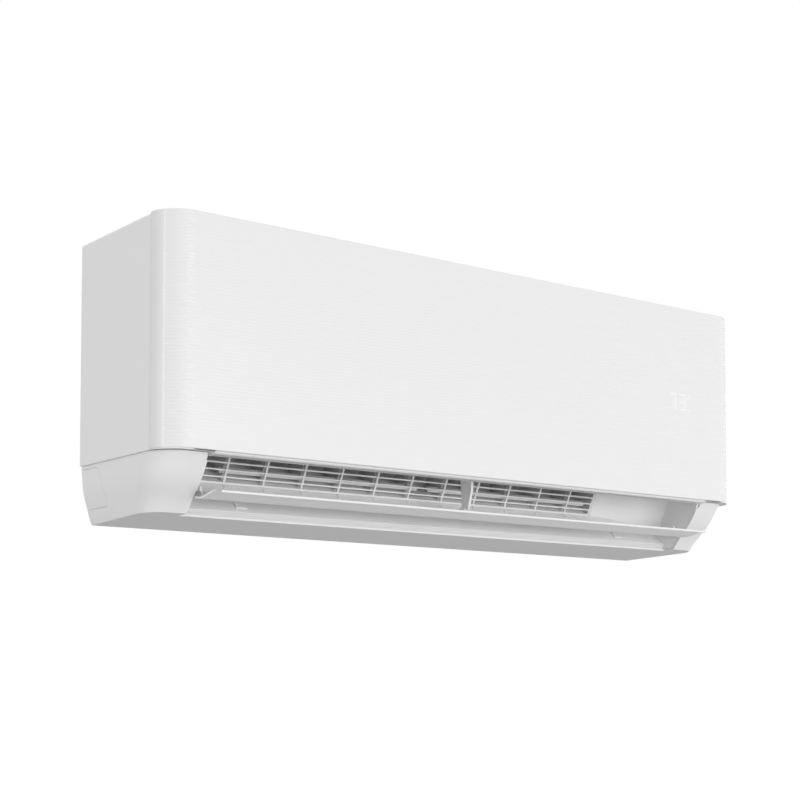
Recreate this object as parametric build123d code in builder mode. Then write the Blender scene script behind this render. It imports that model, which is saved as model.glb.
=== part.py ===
from build123d import *
import math
import os

# Wall-hung indoor unit of a split air conditioner, in millimetres.
# +Z is up, +Y points at the wall, and X runs along the unit.
# The origin is the centre of the wall plate's rear face, on the wall.

os.makedirs("parts", exist_ok=True)

# ---- driving dimensions: the outside ----
unit_width = 818.0
unit_depth = 183.3
unit_height = 297.0
plate_centre_height = 150.0      # the origin, above the underside
corner_radius = 32.5
wall = 2.5                       # moulded walls of the casing and the chassis
hull_wall = 2.0                  # moulded wall of the lower casing
fit_gap = 0.3                    # between pieces that are clipped or dropped together

# ---- front panel ----
panel_foot_height = 61.8
panel_wall = 2.2
panel_gap = 1.5                  # between the panel and the casing behind it
panel_side_depth = 152.0         # how far from the wall the panel's side wraps end
panel_side_gap = 0.8
panel_axis_depth = 176.5
panel_axis_drop = 3.5            # the hinge axis, below the panel's top edge
panel_lug_x = 367.5
panel_lug_width = 4.2
panel_lug_radius = 2.4
panel_pin_radius = 1.3
panel_bevel = 1.5                # of the panel's inner top edge
panel_pin_length = 5.0

# ---- casings ----
seam_height = 61.1
seam_groove = 0.6
casing_top_drop = 0.5            # the casing's top, below the panel's top edge
casing_round = 3.0
service_left = -345.0            # the coil bay, seen from the front
service_right = 250.0
service_sill_height = 108.0
service_head_drop = 16.0

# ---- air outlet ----
mouth_half = 352.0
lip_depth = 109.0
lip_height = 12.0
underside_rise = 3.8             # of the underside, from the wall to the lip
floor_angle = 45.0
nose_height = 60.3
nose_depth = 165.5
ceiling_angle = 27.0
guard_foot_depth = 75.5
guard_angle = 26.65              # of the guard, leaning forward from upright
duct_right = 250.0
duct_left = -349.5
flare_length = 28.5
guard_bar = 1.6
guard_post = 2.2
guard_depth = 2.4
guard_pitch = 8.0
bay_pitch = 48.9
first_post = -280.8

# ---- cross-flow fan ----
fan_depth = 85.0
fan_height = 142.0
fan_radius = 45.0
fan_left = -334.0
fan_right = 236.0
fan_discs = 9
fan_blades = 31
blade_wall = 1.0
blade_chord = 12.0
scroll_radius = 40.0
shaft_radius = 4.0
running_gap = 0.05

# ---- louver ----
louver_axis_depth = 131.5
louver_axis_height = 29.5
louver_open_angle = 45.5         # turned out from closed, as it rests
louver_half = 350.0
louver_wall = 2.6
louver_pin_radius = 2.5
louver_lug_wall = 2.4

# ---- vanes ----
vane_count = 11
vane_split = 6                   # vanes on the left link
first_vane = first_post         # each vane stands behind a post of the guard
vane_wall = 1.4
vane_axis_reach = 22.6           # of a vane's axis, up the floor behind the guard
vane_pin_radius = 2.0
vane_foot_radius = 8.0
vane_length = 38.0
vane_rise = 28.0
vane_round = 9.5                 # of the vane's upper front corner
link_front = 7.4
link_back = 12.4
link_low = 8.4
link_high = 12.4
link_slot = 2.3

# ---- coil ----
coil_left = -332.0
coil_right = 240.0
coil_thickness = 25.0
tube_radius = 3.5
tube_pitch = 18.0
tube_row = 12.5                  # between the two rows of tubes
plate_wall = 1.2

# ---- filters ----
filter_wall = 3.0
filter_front = 176.3
filter_foot_height = 112.0
filter_back = 28.0
filter_middle = -46.5
filter_bar = 6.0                 # of the casing's bar between the two filters

# ---- motor ----
motor_radius = 43.0
motor_left = 262.0
motor_length = 58.0
motor_boss_radius = 14.0

# ---- pipes ----
liquid_radius = 3.175
suction_radius = 4.7625
pipe_wall = 0.8

half_width = unit_width / 2


def up(height):
    """Height above the unit's underside, as a Z value."""
    return height - plate_centre_height


def on_floor(reach, rise=0.0):
    """A (Y, Z) point up the outlet's sloping floor, and off it, behind the guard's foot."""
    slope = math.radians(floor_angle)
    foot = guard_foot_depth
    y = -foot + reach * math.cos(slope) - rise * math.sin(slope)
    z = up(floor_height(foot)) + reach * math.sin(slope) + rise * math.cos(slope)
    return (y, z)


def floor_height(depth):
    """Height of the outlet's sloping floor at a depth from the wall."""
    return lip_height + (lip_depth - depth) * math.tan(math.radians(floor_angle))


def ceiling_height(depth, rise=0.0):
    """Height of the middle of the outlet's ceiling at a depth from the wall."""
    slope = math.radians(ceiling_angle)
    return nose_height + (nose_depth - depth) * math.tan(slope) + rise / math.cos(slope)


def underside(depth):
    """Height of the unit's underside at a depth from the wall."""
    return underside_rise * depth / lip_depth


def up_guard(reach, back=0.0):
    """A (Y, Z) point up the guard's rear face, and behind it."""
    lean = math.radians(guard_angle)
    y = -guard_foot_depth - reach * math.sin(lean) + back * math.cos(lean)
    z = up(floor_height(guard_foot_depth)) + reach * math.cos(lean) + back * math.sin(lean)
    return (y, z)


def profile(x, points):
    """Closed polygon of (Y, Z) points, facing along X."""
    with BuildSketch(Plane.YZ.offset(x)) as face:
        with BuildLine():
            Polyline(*points, close=True)
        make_face()
    return face.sketch


def bent_sheet(x, points, thickness):
    """Band of one thickness along a line of (Y, Z) points, facing along X."""
    with BuildSketch(Plane.YZ.offset(x)) as face:
        with BuildLine():
            Polyline(*points)
        trace(line_width=thickness)
    return face.sketch


def body_plan(z, half, depth, radius):
    """Plan of the body at one level: square at the wall, round at the front corners."""
    with BuildSketch(Plane.XY.offset(z)) as face:
        Rectangle(2 * half, depth, align=(Align.CENTER, Align.MAX))
        fillet(face.vertices().group_by(Axis.Y)[0], radius)
    return face.sketch


def box_between(low, high, mode=Mode.ADD):
    """Box from its lowest to its highest corner."""
    middle = [(a + b) / 2 for a, b in zip(low, high)]
    with Locations(tuple(middle)):
        Box(high[0] - low[0], high[1] - low[1], high[2] - low[2], mode=mode)


def rod_x(x0, x1, y, z, radius, mode=Mode.ADD):
    """Round bar along X."""
    with Locations(Location((x0, y, z), (0, 90, 0))):
        Cylinder(radius, x1 - x0, align=(Align.CENTER, Align.CENTER, Align.MIN), mode=mode)


def save(piece, name):
    piece.part.label = name
    export_step(piece.part, "parts/" + name + ".step")


# ================= wall plate =================
plate_half = 340.0
plate_rise = 95.0
plate_thickness = 1.2
screw_spacing_x = 406.4
screw_spacing_z = 100.0
end_screw_spacing_x = 620.0
screw_hole_radius = 3.0
hook_spacing = 240.0
hook_width = 26.0
hook_height = 224.0
hook_reach = 6.0
hook_rise = 10.0
rear_wall_front = plate_thickness + wall

with BuildPart() as wall_plate:
    with BuildSketch(Plane.XZ):
        RectangleRounded(2 * plate_half, 2 * plate_rise, 8)
        with GridLocations(screw_spacing_x, screw_spacing_z, 2, 2):
            Circle(screw_hole_radius, mode=Mode.SUBTRACT)
        with GridLocations(end_screw_spacing_x, screw_spacing_z, 2, 2):
            Circle(screw_hole_radius, mode=Mode.SUBTRACT)
        with GridLocations(90, 0, 6, 1):
            SlotOverall(64, 26, rotation=90, mode=Mode.SUBTRACT)
    extrude(amount=plate_thickness)
    for hook in range(-1, 2):
        x = hook * hook_spacing
        z = up(hook_height)
        box_between((x - hook_width / 2, -hook_reach, z - plate_thickness),
                    (x + hook_width / 2, -plate_thickness / 2, z))
        box_between((x - hook_width / 2, -hook_reach - plate_thickness, z - plate_thickness),
                    (x + hook_width / 2, -hook_reach, z + hook_rise))
save(wall_plate, "wall_plate")

# ================= chassis: rear wall, fan scroll and end supports =================
rear_wall_low = 58.0
rear_wall_high = 284.0
rear_wall_half = half_width - 12.0
scroll_turn = 50.0               # up the floor, where it turns up behind the fan
scroll_start = on_floor(scroll_turn, -wall / 2)
scroll_mid_radius = scroll_radius + wall / 2
scroll_back = scroll_start[0] + scroll_mid_radius * (1 - math.cos(math.radians(floor_angle)))
scroll_arc_top = scroll_start[1] + scroll_mid_radius * math.sin(math.radians(floor_angle))
scroll_top = 170.0
tongue_line = [
    (-100.8, up(ceiling_height(100.8))),
    (-104.0, up(fan_height - 45.8)),
    (-120.5, up(fan_height - 36.5)),
    (-129.5, up(fan_height - 24.0)),
]
support_outline = [
    on_floor(2, -wall),
    on_floor(scroll_turn, -wall),
    (scroll_back + wall / 2, scroll_arc_top),
    (scroll_back + wall / 2, up(scroll_top)),
    (-52.0, up(192)),
    (-112.0, up(192)),
    (-131.5, up(176)),
    (-131.5, up(125)),
    (-127.4, up(fan_height - 23.2)),
    (-119.2, up(fan_height - 34.6)),
    (-102.8, up(fan_height - 43.8)),
    up_guard(51, 1.5),
    up_guard(2, 1.5),
]
bush_housing_radius = 15.0
bush_housing_depth = 9.0
rib_count = 7
rib_spacing = 96.0
cradle_low = 97.0
cradle_high = 114.0
strap_wall = 1.5
strap_foot = 12.0
strap_left = motor_left + 22
strap_width = 14.0
screw_radius = 1.9

with BuildPart() as chassis:
    box_between((-rear_wall_half, -rear_wall_front, up(rear_wall_low)),
                (rear_wall_half, -plate_thickness, up(rear_wall_high)))
    # sloping floor behind the guard, turning up into the scroll
    with BuildSketch(Plane.YZ.offset(duct_left)):
        with BuildLine():
            Line(on_floor(0, -wall / 2), scroll_start)
            JernArc(start=scroll_start, tangent=(1, 1), radius=scroll_mid_radius, arc_size=floor_angle)
            Line((scroll_back, scroll_arc_top), (scroll_back, up(scroll_top)))
        trace(line_width=wall)
    extrude(amount=duct_right - duct_left)
    # gutter under the rear coil
    gutter = bent_sheet(duct_left, [
        (-43.0, up(scroll_top + 11)),
        (-43.0, up(scroll_top + 4)),
        (-14.0, up(scroll_top - 1)),
        (-14.0, up(scroll_top + 13))], wall)
    extrude(to_extrude=gutter, amount=duct_right - duct_left)
    # ribs that carry the scroll from the rear wall
    for rib in range(rib_count):
        rib_face = profile(duct_left + 10 + rib * rib_spacing, [
            (-rear_wall_front + wall / 2, up(92)),
            (-rear_wall_front + wall / 2, up(scroll_top - 1)),
            (scroll_back, up(scroll_top - 1)),
            (scroll_back, scroll_arc_top),
            on_floor(scroll_turn, -wall / 2)])
        extrude(to_extrude=rib_face, amount=wall)
    # end supports of the fan
    extrude(to_extrude=profile(duct_left - wall, support_outline), amount=wall)
    extrude(to_extrude=profile(duct_right, support_outline), amount=wall)
    rod_x(duct_left - wall - bush_housing_depth, duct_left, -fan_depth, up(fan_height),
          bush_housing_radius + wall)
    rod_x(duct_left - bush_housing_depth, duct_left + 1, -fan_depth, up(fan_height),
          bush_housing_radius, mode=Mode.SUBTRACT)
    rod_x(duct_right - 1, duct_right + wall + 1, -fan_depth, up(fan_height),
          motor_boss_radius + 2, mode=Mode.SUBTRACT)
    # cradle of the motor
    cradle_reach = motor_radius + strap_wall + strap_foot + 1
    box_between((duct_right + wall, -fan_depth - cradle_reach, up(cradle_low)),
                (motor_left + motor_length, -fan_depth + cradle_reach, up(cradle_high)))
    box_between((duct_right + 18, -fan_depth + cradle_reach - 5, up(cradle_low)),
                (duct_right + 40, -plate_thickness - 1, up(cradle_high)))
    rod_x(duct_right + wall, motor_left + motor_length + 2, -fan_depth, up(fan_height),
          motor_radius + 0.1, mode=Mode.SUBTRACT)
    for side in (-1, 1):
        screw_y = -fan_depth + side * (motor_radius + strap_wall + strap_foot / 2)
        with Locations((strap_left + strap_width / 2, screw_y, up(cradle_high))):
            Cylinder(screw_radius + running_gap, 16, mode=Mode.SUBTRACT)
    # slots that hang on the plate's hooks
    for hook in range(-1, 2):
        x = hook * hook_spacing
        box_between((x - hook_width / 2 - 2, -rear_wall_front - 1, up(hook_height) - 16),
                    (x + hook_width / 2 + 2, 0, up(hook_height)), mode=Mode.SUBTRACT)
    # holes of the vanes' pins
    for vane in range(vane_count):
        pin_place = on_floor(vane_axis_reach)
        with Locations(Location((first_vane + vane * bay_pitch, pin_place[0], pin_place[1]),
                                (floor_angle, 0, 0))):
            Cylinder(vane_pin_radius + running_gap, 4 * wall, mode=Mode.SUBTRACT)
save(chassis, "chassis")

# ================= lower casing =================
# level, inset of the side, inset of the front and corner radius
hull_levels = [
    (0.0, 14.7, 60.8, 26.0),
    (10.0, 10.8, 53.3, 28.0),
    (20.0, 8.0, 44.3, 30.0),
    (32.0, 4.8, 32.3, 31.0),
    (46.0, 3.0, 21.8, 32.0),
    (60.0, 2.0, 12.9, 32.0),
    (72.0, 1.4, 6.6, 32.0),
]


def hull(inset, lift):
    """Solid shape of the lower casing, brought in all round and lifted off the underside."""
    with BuildPart() as solid:
        faces = []
        for level, side, front, radius in hull_levels:
            faces.append(body_plan(up(level), half_width - side - inset, unit_depth - front - inset,
                                   radius - inset))
        loft(sections=faces)
        below = profile(-half_width, [
            (10, up(underside(-10) + lift)),
            (-200, up(underside(200) + lift)),
            (-200, up(-10)),
            (10, up(-10))])
        extrude(to_extrude=below, amount=unit_width, mode=Mode.SUBTRACT)
    return solid.part


hull_outside = hull(0, 0)
hull_inside = hull(hull_wall, hull_wall)
hull_trim = hull(hull_wall + fit_gap + 0.2, hull_wall + fit_gap + 0.2)
hull_flange = hull(hull_wall + 1.6, hull_wall + 1.6)

tongue_top = 65.0
tongue_half = half_width - 6.7
tongue_depth = unit_depth - 18.5
tongue_radius = 26.0
tongue_wall = 1.6
cover_outline = [
    (1.0, up(seam_height - 4)),
    (-33.0, up(seam_height - 4)),
    (-39.6, up(54)),
    (-48.3, up(22)),
    (-45.5, up(15.6)),
    (1.0, up(15.6)),
]
cover_reach = 30.0


def cover_prism(grow):
    """Outline of a knock-out for the pipes, as a block through both side walls."""
    with BuildPart() as prism:
        with BuildSketch(Plane.YZ.offset(half_width - cover_reach)):
            with BuildLine():
                Polyline(*cover_outline, close=True)
            make_face()
            if grow != 0:
                offset(amount=grow, kind=Kind.INTERSECTION)
        extrude(amount=cover_reach + 10)
        mirror(about=Plane.YZ)
    return prism.part


knock_out = cover_prism(0)
knock_out_cover = cover_prism(-fit_gap)
knock_out_flange = cover_prism(3.0)

with BuildPart() as lower_casing:
    add(hull_outside)
    add(hull_inside, mode=Mode.SUBTRACT)
    box_between((-500, -300, up(seam_height)), (500, 50, up(120)), mode=Mode.SUBTRACT)
    # tongue that stands up inside the upper casing
    ring = body_plan(up(55), tongue_half + 2.7, tongue_depth + 0.8, tongue_radius + 2)
    extrude(to_extrude=ring, amount=5)
    extrude(to_extrude=body_plan(up(55), tongue_half, tongue_depth, tongue_radius),
            amount=tongue_top - 55)
    extrude(to_extrude=body_plan(up(54), tongue_half - tongue_wall, tongue_depth - tongue_wall,
                                 tongue_radius - tongue_wall), amount=tongue_top - 53, mode=Mode.SUBTRACT)
    # the air's mouth, and the lip below it
    box_between((-mouth_half, -300, up(-10)), (mouth_half, -lip_depth, up(120)), mode=Mode.SUBTRACT)
    box_between((-mouth_half - wall - 0.5, -300, up(54)), (mouth_half + wall + 0.5, -80, up(seam_height)),
                mode=Mode.SUBTRACT)
    box_between((-mouth_half - wall - 0.5, -300, up(seam_height - 0.1)),
                (mouth_half + wall + 0.5, -80, up(120)), mode=Mode.SUBTRACT)
    box_between((-mouth_half - 0.5, -lip_depth, up(underside(lip_depth) + 0.8)),
                (mouth_half + 0.5, -lip_depth + hull_wall, up(lip_height - 4)))
    add(knock_out, mode=Mode.SUBTRACT)
save(lower_casing, "lower_casing")

# ================= knock-out covers for the pipes =================
with BuildPart() as cover_pair:
    add(hull_inside)
    add(hull_flange, mode=Mode.SUBTRACT)
    add(knock_out_flange, mode=Mode.INTERSECT)
    box_between((-500, -300, up(54.5)), (500, 50, up(120)), mode=Mode.SUBTRACT)

with BuildPart() as cover_skin:
    add(hull_outside)
    add(hull_flange, mode=Mode.SUBTRACT)
    add(knock_out_cover, mode=Mode.INTERSECT)

for side in (-1, 1):
    with BuildPart() as pipe_cover:
        add(cover_pair.part)
        add(cover_skin.part)
        box_between((-500 if side > 0 else 0, -300, up(-20)), (0 if side > 0 else 500, 50, up(150)),
                    mode=Mode.SUBTRACT)
    save(pipe_cover, "pipe_cover_right" if side > 0 else "pipe_cover_left")

# ================= front casing =================
casing_foot = seam_height + seam_groove
casing_top = unit_height - casing_top_drop
shield_half = half_width - panel_wall - panel_gap
shield_depth = unit_depth - panel_wall - panel_gap
shield_radius = corner_radius - panel_wall - panel_gap
side_depth = panel_side_depth - panel_side_gap
display_x = 302.5
display_height = 178.5
display_half = 19.0
display_rise = 13.0
button_x = 340.0
button_height = 130.0
button_radius = 4.0
boss_radius = 5.0
screw_places = (-300.0, -46.5, 200.0)
screw_height = 86.0
pan_front = 169.5                # the drip tray's front wall, middle
top_front = filter_front + fit_gap
top_left = service_left - 0.5
top_right = service_right + 0.5
panel_axis_y = -panel_axis_depth
panel_axis_z = up(unit_height - panel_axis_drop)
board_front = 170.0
board_wall = 1.6

with BuildPart() as casing_sides:
    box_between((-half_width, -side_depth, up(casing_foot)), (half_width, 0, up(casing_top)))
    fillet(casing_sides.edges().group_by(Axis.Z)[-1].filter_by(Axis.Y), casing_round)

with BuildPart() as front_casing:
    extrude(to_extrude=body_plan(up(casing_foot), shield_half, shield_depth, shield_radius),
            amount=casing_top - casing_foot)
    fillet(front_casing.edges().group_by(Axis.Z)[-1].filter_by_position(Axis.Y, -300, -1), casing_round)
    add(casing_sides.part)
    # hollow
    box_between((-half_width + wall, -side_depth + wall, up(casing_foot + wall)),
                (half_width - wall, 1, up(casing_top - wall)), mode=Mode.SUBTRACT)
    extrude(to_extrude=body_plan(up(casing_foot + wall), shield_half - wall, shield_depth - wall,
                                 shield_radius - wall), amount=casing_top - casing_foot - 2 * wall,
            mode=Mode.SUBTRACT)
    # open foot, with a flange that stands around the lower casing's tongue
    extrude(to_extrude=body_plan(up(casing_foot - 1), tongue_half + fit_gap, tongue_depth + fit_gap,
                                 tongue_radius + fit_gap), amount=wall + 2, mode=Mode.SUBTRACT)
    box_between((-mouth_half - fit_gap, -300, up(casing_foot - 1)),
                (mouth_half + fit_gap, -100, up(casing_foot + wall + 0.8)), mode=Mode.SUBTRACT)
    # front opening to the coil
    box_between((service_left, -300, up(service_sill_height)),
                (service_right, -shield_depth + wall + 1, up(casing_top - service_head_drop)),
                mode=Mode.SUBTRACT)
    # top openings of the two filters
    box_between((top_left, -top_front, up(casing_top - wall - 1)),
                (filter_middle - filter_bar / 2, -filter_back + fit_gap, up(casing_top + 1)),
                mode=Mode.SUBTRACT)
    box_between((filter_middle + filter_bar / 2, -top_front, up(casing_top - wall - 1)),
                (top_right, -filter_back + fit_gap, up(casing_top + 1)), mode=Mode.SUBTRACT)
    # bar that keeps the two filters apart at the front
    box_between((filter_middle - filter_bar / 2, -shield_depth, up(casing_foot + 20)),
                (filter_middle + filter_bar / 2, -shield_depth + wall, up(casing_top - 1)))
    # bosses of the screws
    for x in screw_places:
        with Locations(Location((x, -shield_depth, up(screw_height)), (-90, 0, 0))):
            Cylinder(boss_radius, shield_depth - pan_front - wall / 2,
                     align=(Align.CENTER, Align.CENTER, Align.MIN))
            Cylinder(screw_radius + fit_gap, 40, mode=Mode.SUBTRACT)
    # window of the display, and the hole of the button
    box_between((display_x - display_half, -300, up(display_height - display_rise)),
                (display_x + display_half, -shield_depth + wall + 1, up(display_height + display_rise)),
                mode=Mode.SUBTRACT)
    with Locations(Location((button_x, -shield_depth, up(button_height)), (-90, 0, 0))):
        Cylinder(button_radius + fit_gap, 20, mode=Mode.SUBTRACT)
    # posts of the display board
    for x in (display_x - 30, display_x + 30):
        for z in (display_height - 18, display_height + 18):
            with Locations(Location((x, -shield_depth + wall / 2, up(z)), (-90, 0, 0))):
                Cylinder(3, shield_depth - wall / 2 - board_front,
                         align=(Align.CENTER, Align.CENTER, Align.MIN))
    # hinges of the panel
    for side in (-1, 1):
        lug_low = min(side * (panel_lug_x - 1), side * (panel_lug_x + panel_lug_width + 0.4))
        lug_high = max(side * (panel_lug_x - 1), side * (panel_lug_x + panel_lug_width + 0.4))
        block_low = min(side * (panel_lug_x + panel_lug_width + 0.4), side * (panel_lug_x + 13))
        block_high = max(side * (panel_lug_x + panel_lug_width + 0.4), side * (panel_lug_x + 13))
        box_between((block_low, -shield_depth + 1, panel_axis_z - 4),
                    (block_high, panel_axis_y + 5, up(casing_top - 1)))
        box_between((lug_low, -300, panel_axis_z - 4.5), (lug_high, panel_axis_y + 5, up(casing_top + 10)),
                    mode=Mode.SUBTRACT)
        pin_end = panel_lug_x + panel_lug_width + panel_pin_length + 0.8
        rod_x(min(side * panel_lug_x, side * pin_end), max(side * panel_lug_x, side * pin_end),
              panel_axis_y, panel_axis_z, panel_pin_radius + running_gap, mode=Mode.SUBTRACT)
save(front_casing, "front_casing")

# ================= front panel =================
with BuildPart() as front_panel:
    extrude(to_extrude=body_plan(up(panel_foot_height), half_width, unit_depth, corner_radius),
            amount=unit_height - panel_foot_height)
    extrude(to_extrude=body_plan(up(panel_foot_height), half_width - panel_wall, unit_depth - panel_wall,
                                 corner_radius - panel_wall),
            amount=unit_height - panel_foot_height, mode=Mode.SUBTRACT)
    # inner top edge, bevelled so that it swings clear of the casing and of a lifted filter
    bevel_from = body_plan(up(unit_height - panel_bevel), half_width - panel_wall, unit_depth - panel_wall,
                           corner_radius - panel_wall)
    bevel_to = body_plan(up(unit_height), half_width - panel_wall + panel_bevel,
                         unit_depth - panel_wall + panel_bevel, corner_radius - panel_wall + panel_bevel)
    loft(sections=[bevel_from, bevel_to], mode=Mode.SUBTRACT)
    box_between((-500, -panel_side_depth, up(0)), (500, 50, up(400)), mode=Mode.SUBTRACT)
    # thin place in front of the display
    box_between((display_x - display_half, -unit_depth + 1.0, up(display_height - display_rise)),
                (display_x + display_half, -unit_depth + panel_wall + 1, up(display_height + display_rise)),
                mode=Mode.SUBTRACT)
    for side in (-1, 1):
        lug_low = min(side * panel_lug_x, side * (panel_lug_x + panel_lug_width))
        lug_high = max(side * panel_lug_x, side * (panel_lug_x + panel_lug_width))
        box_between((lug_low, -unit_depth + panel_wall / 2, panel_axis_z - panel_lug_radius),
                    (lug_high, panel_axis_y, panel_axis_z + panel_lug_radius))
        rod_x(lug_low, lug_high, panel_axis_y, panel_axis_z, panel_lug_radius)
        pin_end = panel_lug_x + panel_lug_width + panel_pin_length
        rod_x(min(side * panel_lug_x, side * pin_end), max(side * panel_lug_x, side * pin_end),
              panel_axis_y, panel_axis_z, panel_pin_radius)
save(front_panel, "front_panel")

# ================= outlet duct: mouth, ceiling with drip tray, flared side =================
louver_axis_y = -louver_axis_depth
louver_axis_z = up(louver_axis_height)
floor_drop = wall / math.cos(math.radians(floor_angle))
ceiling_back = 100.0
nose_tip_depth = nose_depth + 14.5
nose_tip_height = nose_height + 2.7
end_wall_top = 61.2
pan_wall_top = 108.0
drain_height = 73.0
drain_depth = 163.0
drain_radius = 5.0
pad_x = 275.0
pad_reach = -34.6

end_high_outline = [
    (-nose_depth + 0.7, up(end_wall_top - 0.2)),
    (-nose_depth + 0.7, up(ceiling_height(nose_depth - 0.7, wall / 2))),
    (-ceiling_back - 0.6, up(ceiling_height(ceiling_back + 0.6, wall / 2))),
    up_guard(52),
    up_guard(17),
]
pan_end_outline = [
    (-pan_front - wall / 2, up(nose_height + 1)),
    (-pan_front - wall / 2, up(pan_wall_top)),
    (-134.0, up(pan_wall_top + 2)),
    tongue_line[3],
    tongue_line[2],
    tongue_line[1],
    tongue_line[0],
    (-nose_depth, up(nose_height)),
]

with BuildPart() as duct_ends:
    extrude(to_extrude=profile(mouth_half, [
        (-nose_tip_depth - 5, up(end_wall_top)),
        (-nose_tip_depth - 5, up(-10)),
        (-lip_depth, up(-10)),
        (-lip_depth, up(floor_height(lip_depth) - floor_drop)),
        on_floor(-0.3, -wall),
        up_guard(0),
        up_guard(17.7)]), amount=wall)
    mirror(about=Plane.YZ)
    add(hull_trim, mode=Mode.INTERSECT)
    for start in (mouth_half, -mouth_half - wall):
        extrude(to_extrude=profile(start, end_high_outline), amount=wall)

flare_start = duct_right + wall + fit_gap
flare_angle = math.degrees(2 * math.atan(flare_length / (mouth_half - flare_start)))
flare_radius = (mouth_half - flare_start) / math.sin(math.radians(flare_angle))
lean = math.radians(guard_angle)
flare_plane = Plane(origin=(0, up_guard(0)[0], up_guard(0)[1]), x_dir=(1, 0, 0),
                    z_dir=(0, -math.sin(lean), math.cos(lean)))

with BuildPart() as flare:
    with BuildSketch(flare_plane):
        with BuildLine():
            JernArc(start=(flare_start, wall / 2), tangent=(1, 0), radius=flare_radius + wall / 2,
                    arc_size=-flare_angle)
        trace(line_width=wall)
    extrude(amount=80, both=True)
    between = profile(duct_right, [
        (-lip_depth, up(floor_height(lip_depth) - wall / 2)),
        on_floor(4, -wall / 2),
        (-ceiling_back + 3, up(ceiling_height(ceiling_back - 3))),
        (-nose_depth, up(ceiling_height(nose_depth)))])
    extrude(to_extrude=between, amount=mouth_half - duct_right + wall / 2, mode=Mode.INTERSECT)

with BuildPart() as outlet_duct:
    add(duct_ends.part)
    add(flare.part)
    # floor from the lip to the guard's foot
    extrude(to_extrude=profile(-mouth_half, [
        (-lip_depth, up(floor_height(lip_depth))),
        on_floor(-0.3),
        on_floor(-0.3, -wall),
        (-lip_depth, up(floor_height(lip_depth) - floor_drop))]), amount=2 * mouth_half)
    # ceiling from the nose to the fan
    extrude(to_extrude=bent_sheet(-mouth_half, [
        (-nose_tip_depth, up(nose_tip_height)),
        (-nose_depth, up(nose_height)),
        (-ceiling_back, up(ceiling_height(ceiling_back)))], wall), amount=2 * mouth_half)
    # tongue that turns up in front of the fan
    extrude(to_extrude=bent_sheet(duct_left - wall, tongue_line, wall),
            amount=duct_right - duct_left + 2 * wall)
    # drip tray under the front coil
    box_between((duct_left - wall, -pan_front - wall / 2, up(nose_height + 0.7)),
                (duct_right + wall, -pan_front + wall / 2, up(pan_wall_top)))
    extrude(to_extrude=profile(duct_left - wall, pan_end_outline), amount=wall)
    extrude(to_extrude=profile(duct_right, pan_end_outline), amount=wall)
    # bores of the louver's pins, of the drain and of the casing's screws
    rod_x(-mouth_half - 5, -mouth_half + 1, louver_axis_y, louver_axis_z,
          louver_pin_radius + running_gap, mode=Mode.SUBTRACT)
    rod_x(mouth_half - 1, mouth_half + 5, louver_axis_y, louver_axis_z,
          louver_pin_radius + running_gap, mode=Mode.SUBTRACT)
    rod_x(duct_left - wall - 1, duct_left + 1, -drain_depth, up(drain_height),
          drain_radius + running_gap, mode=Mode.SUBTRACT)
    rod_x(duct_right - 1, duct_right + wall + 1, -drain_depth, up(drain_height),
          drain_radius + running_gap, mode=Mode.SUBTRACT)
    for x in screw_places:
        with Locations(Location((x, -pan_front, up(screw_height)), (-90, 0, 0))):
            Cylinder(screw_radius + running_gap, 3 * wall, mode=Mode.SUBTRACT)
    for x in (-pad_x, pad_x):
        pad = on_floor(pad_reach)
        with Locations(Location((x, pad[0], pad[1]), (floor_angle, 0, 0))):
            Box(12, 11, 2)
save(outlet_duct, "outlet_duct")

# ================= outlet guard =================
guard_top = 52.2
guard_left = duct_left + fit_gap
guard_right = duct_right - fit_gap
guard_rim = 2.4
guard_plane = Plane(origin=(0, up_guard(0)[0], up_guard(0)[1]), x_dir=(1, 0, 0),
                    z_dir=(0, -math.cos(lean), -math.sin(lean)))
post_count = int((guard_right - first_post) / bay_pitch) + 1
rung_count = int(guard_top / guard_pitch)

with BuildPart() as outlet_guard:
    with BuildSketch(guard_plane):
        for low in (0, guard_top - guard_rim):
            with Locations((guard_left, low)):
                Rectangle(guard_right - guard_left, guard_rim, align=(Align.MIN, Align.MIN))
        for x in (guard_left, guard_right - guard_rim):
            with Locations((x, 0)):
                Rectangle(guard_rim, guard_top, align=(Align.MIN, Align.MIN))
        for post in range(post_count):
            with Locations((first_post + post * bay_pitch, guard_top / 2)):
                Rectangle(guard_post, guard_top)
        for rung in range(1, rung_count + 1):
            with Locations((guard_left, rung * guard_pitch)):
                Rectangle(guard_right - guard_left, guard_bar, align=(Align.MIN, Align.CENTER))
    extrude(amount=guard_depth)
save(outlet_guard, "outlet_guard")

# ================= louver =================
louver_tip = (-170.5, up(60.5))
louver_tail = (-114.0, up(11.5))
louver_outside = [louver_tip, (-160.2, up(45.6)), (-150.5, up(32.5)), (-140.0, up(24.2)),
                  (-130.0, up(17.6)), (-122.0, up(13.8)), louver_tail]
louver_lug_x = louver_half - 9.0
louver_lug_radius = 5.0
bracket_x = 6.5
bracket_wall = 3.0
bracket_gap = 1.0
centre_lug_wall = 2.4
centre_pin_radius = 2.0


def opened(points):
    """Points of the closed louver, turned about its pins to where it rests."""
    turn = math.radians(louver_open_angle)
    moved = []
    for y, z in points:
        across = y - louver_axis_y
        rise = z - louver_axis_z
        moved.append((louver_axis_y + across * math.cos(turn) - rise * math.sin(turn),
                      louver_axis_z + across * math.sin(turn) + rise * math.cos(turn)))
    return moved


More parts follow.
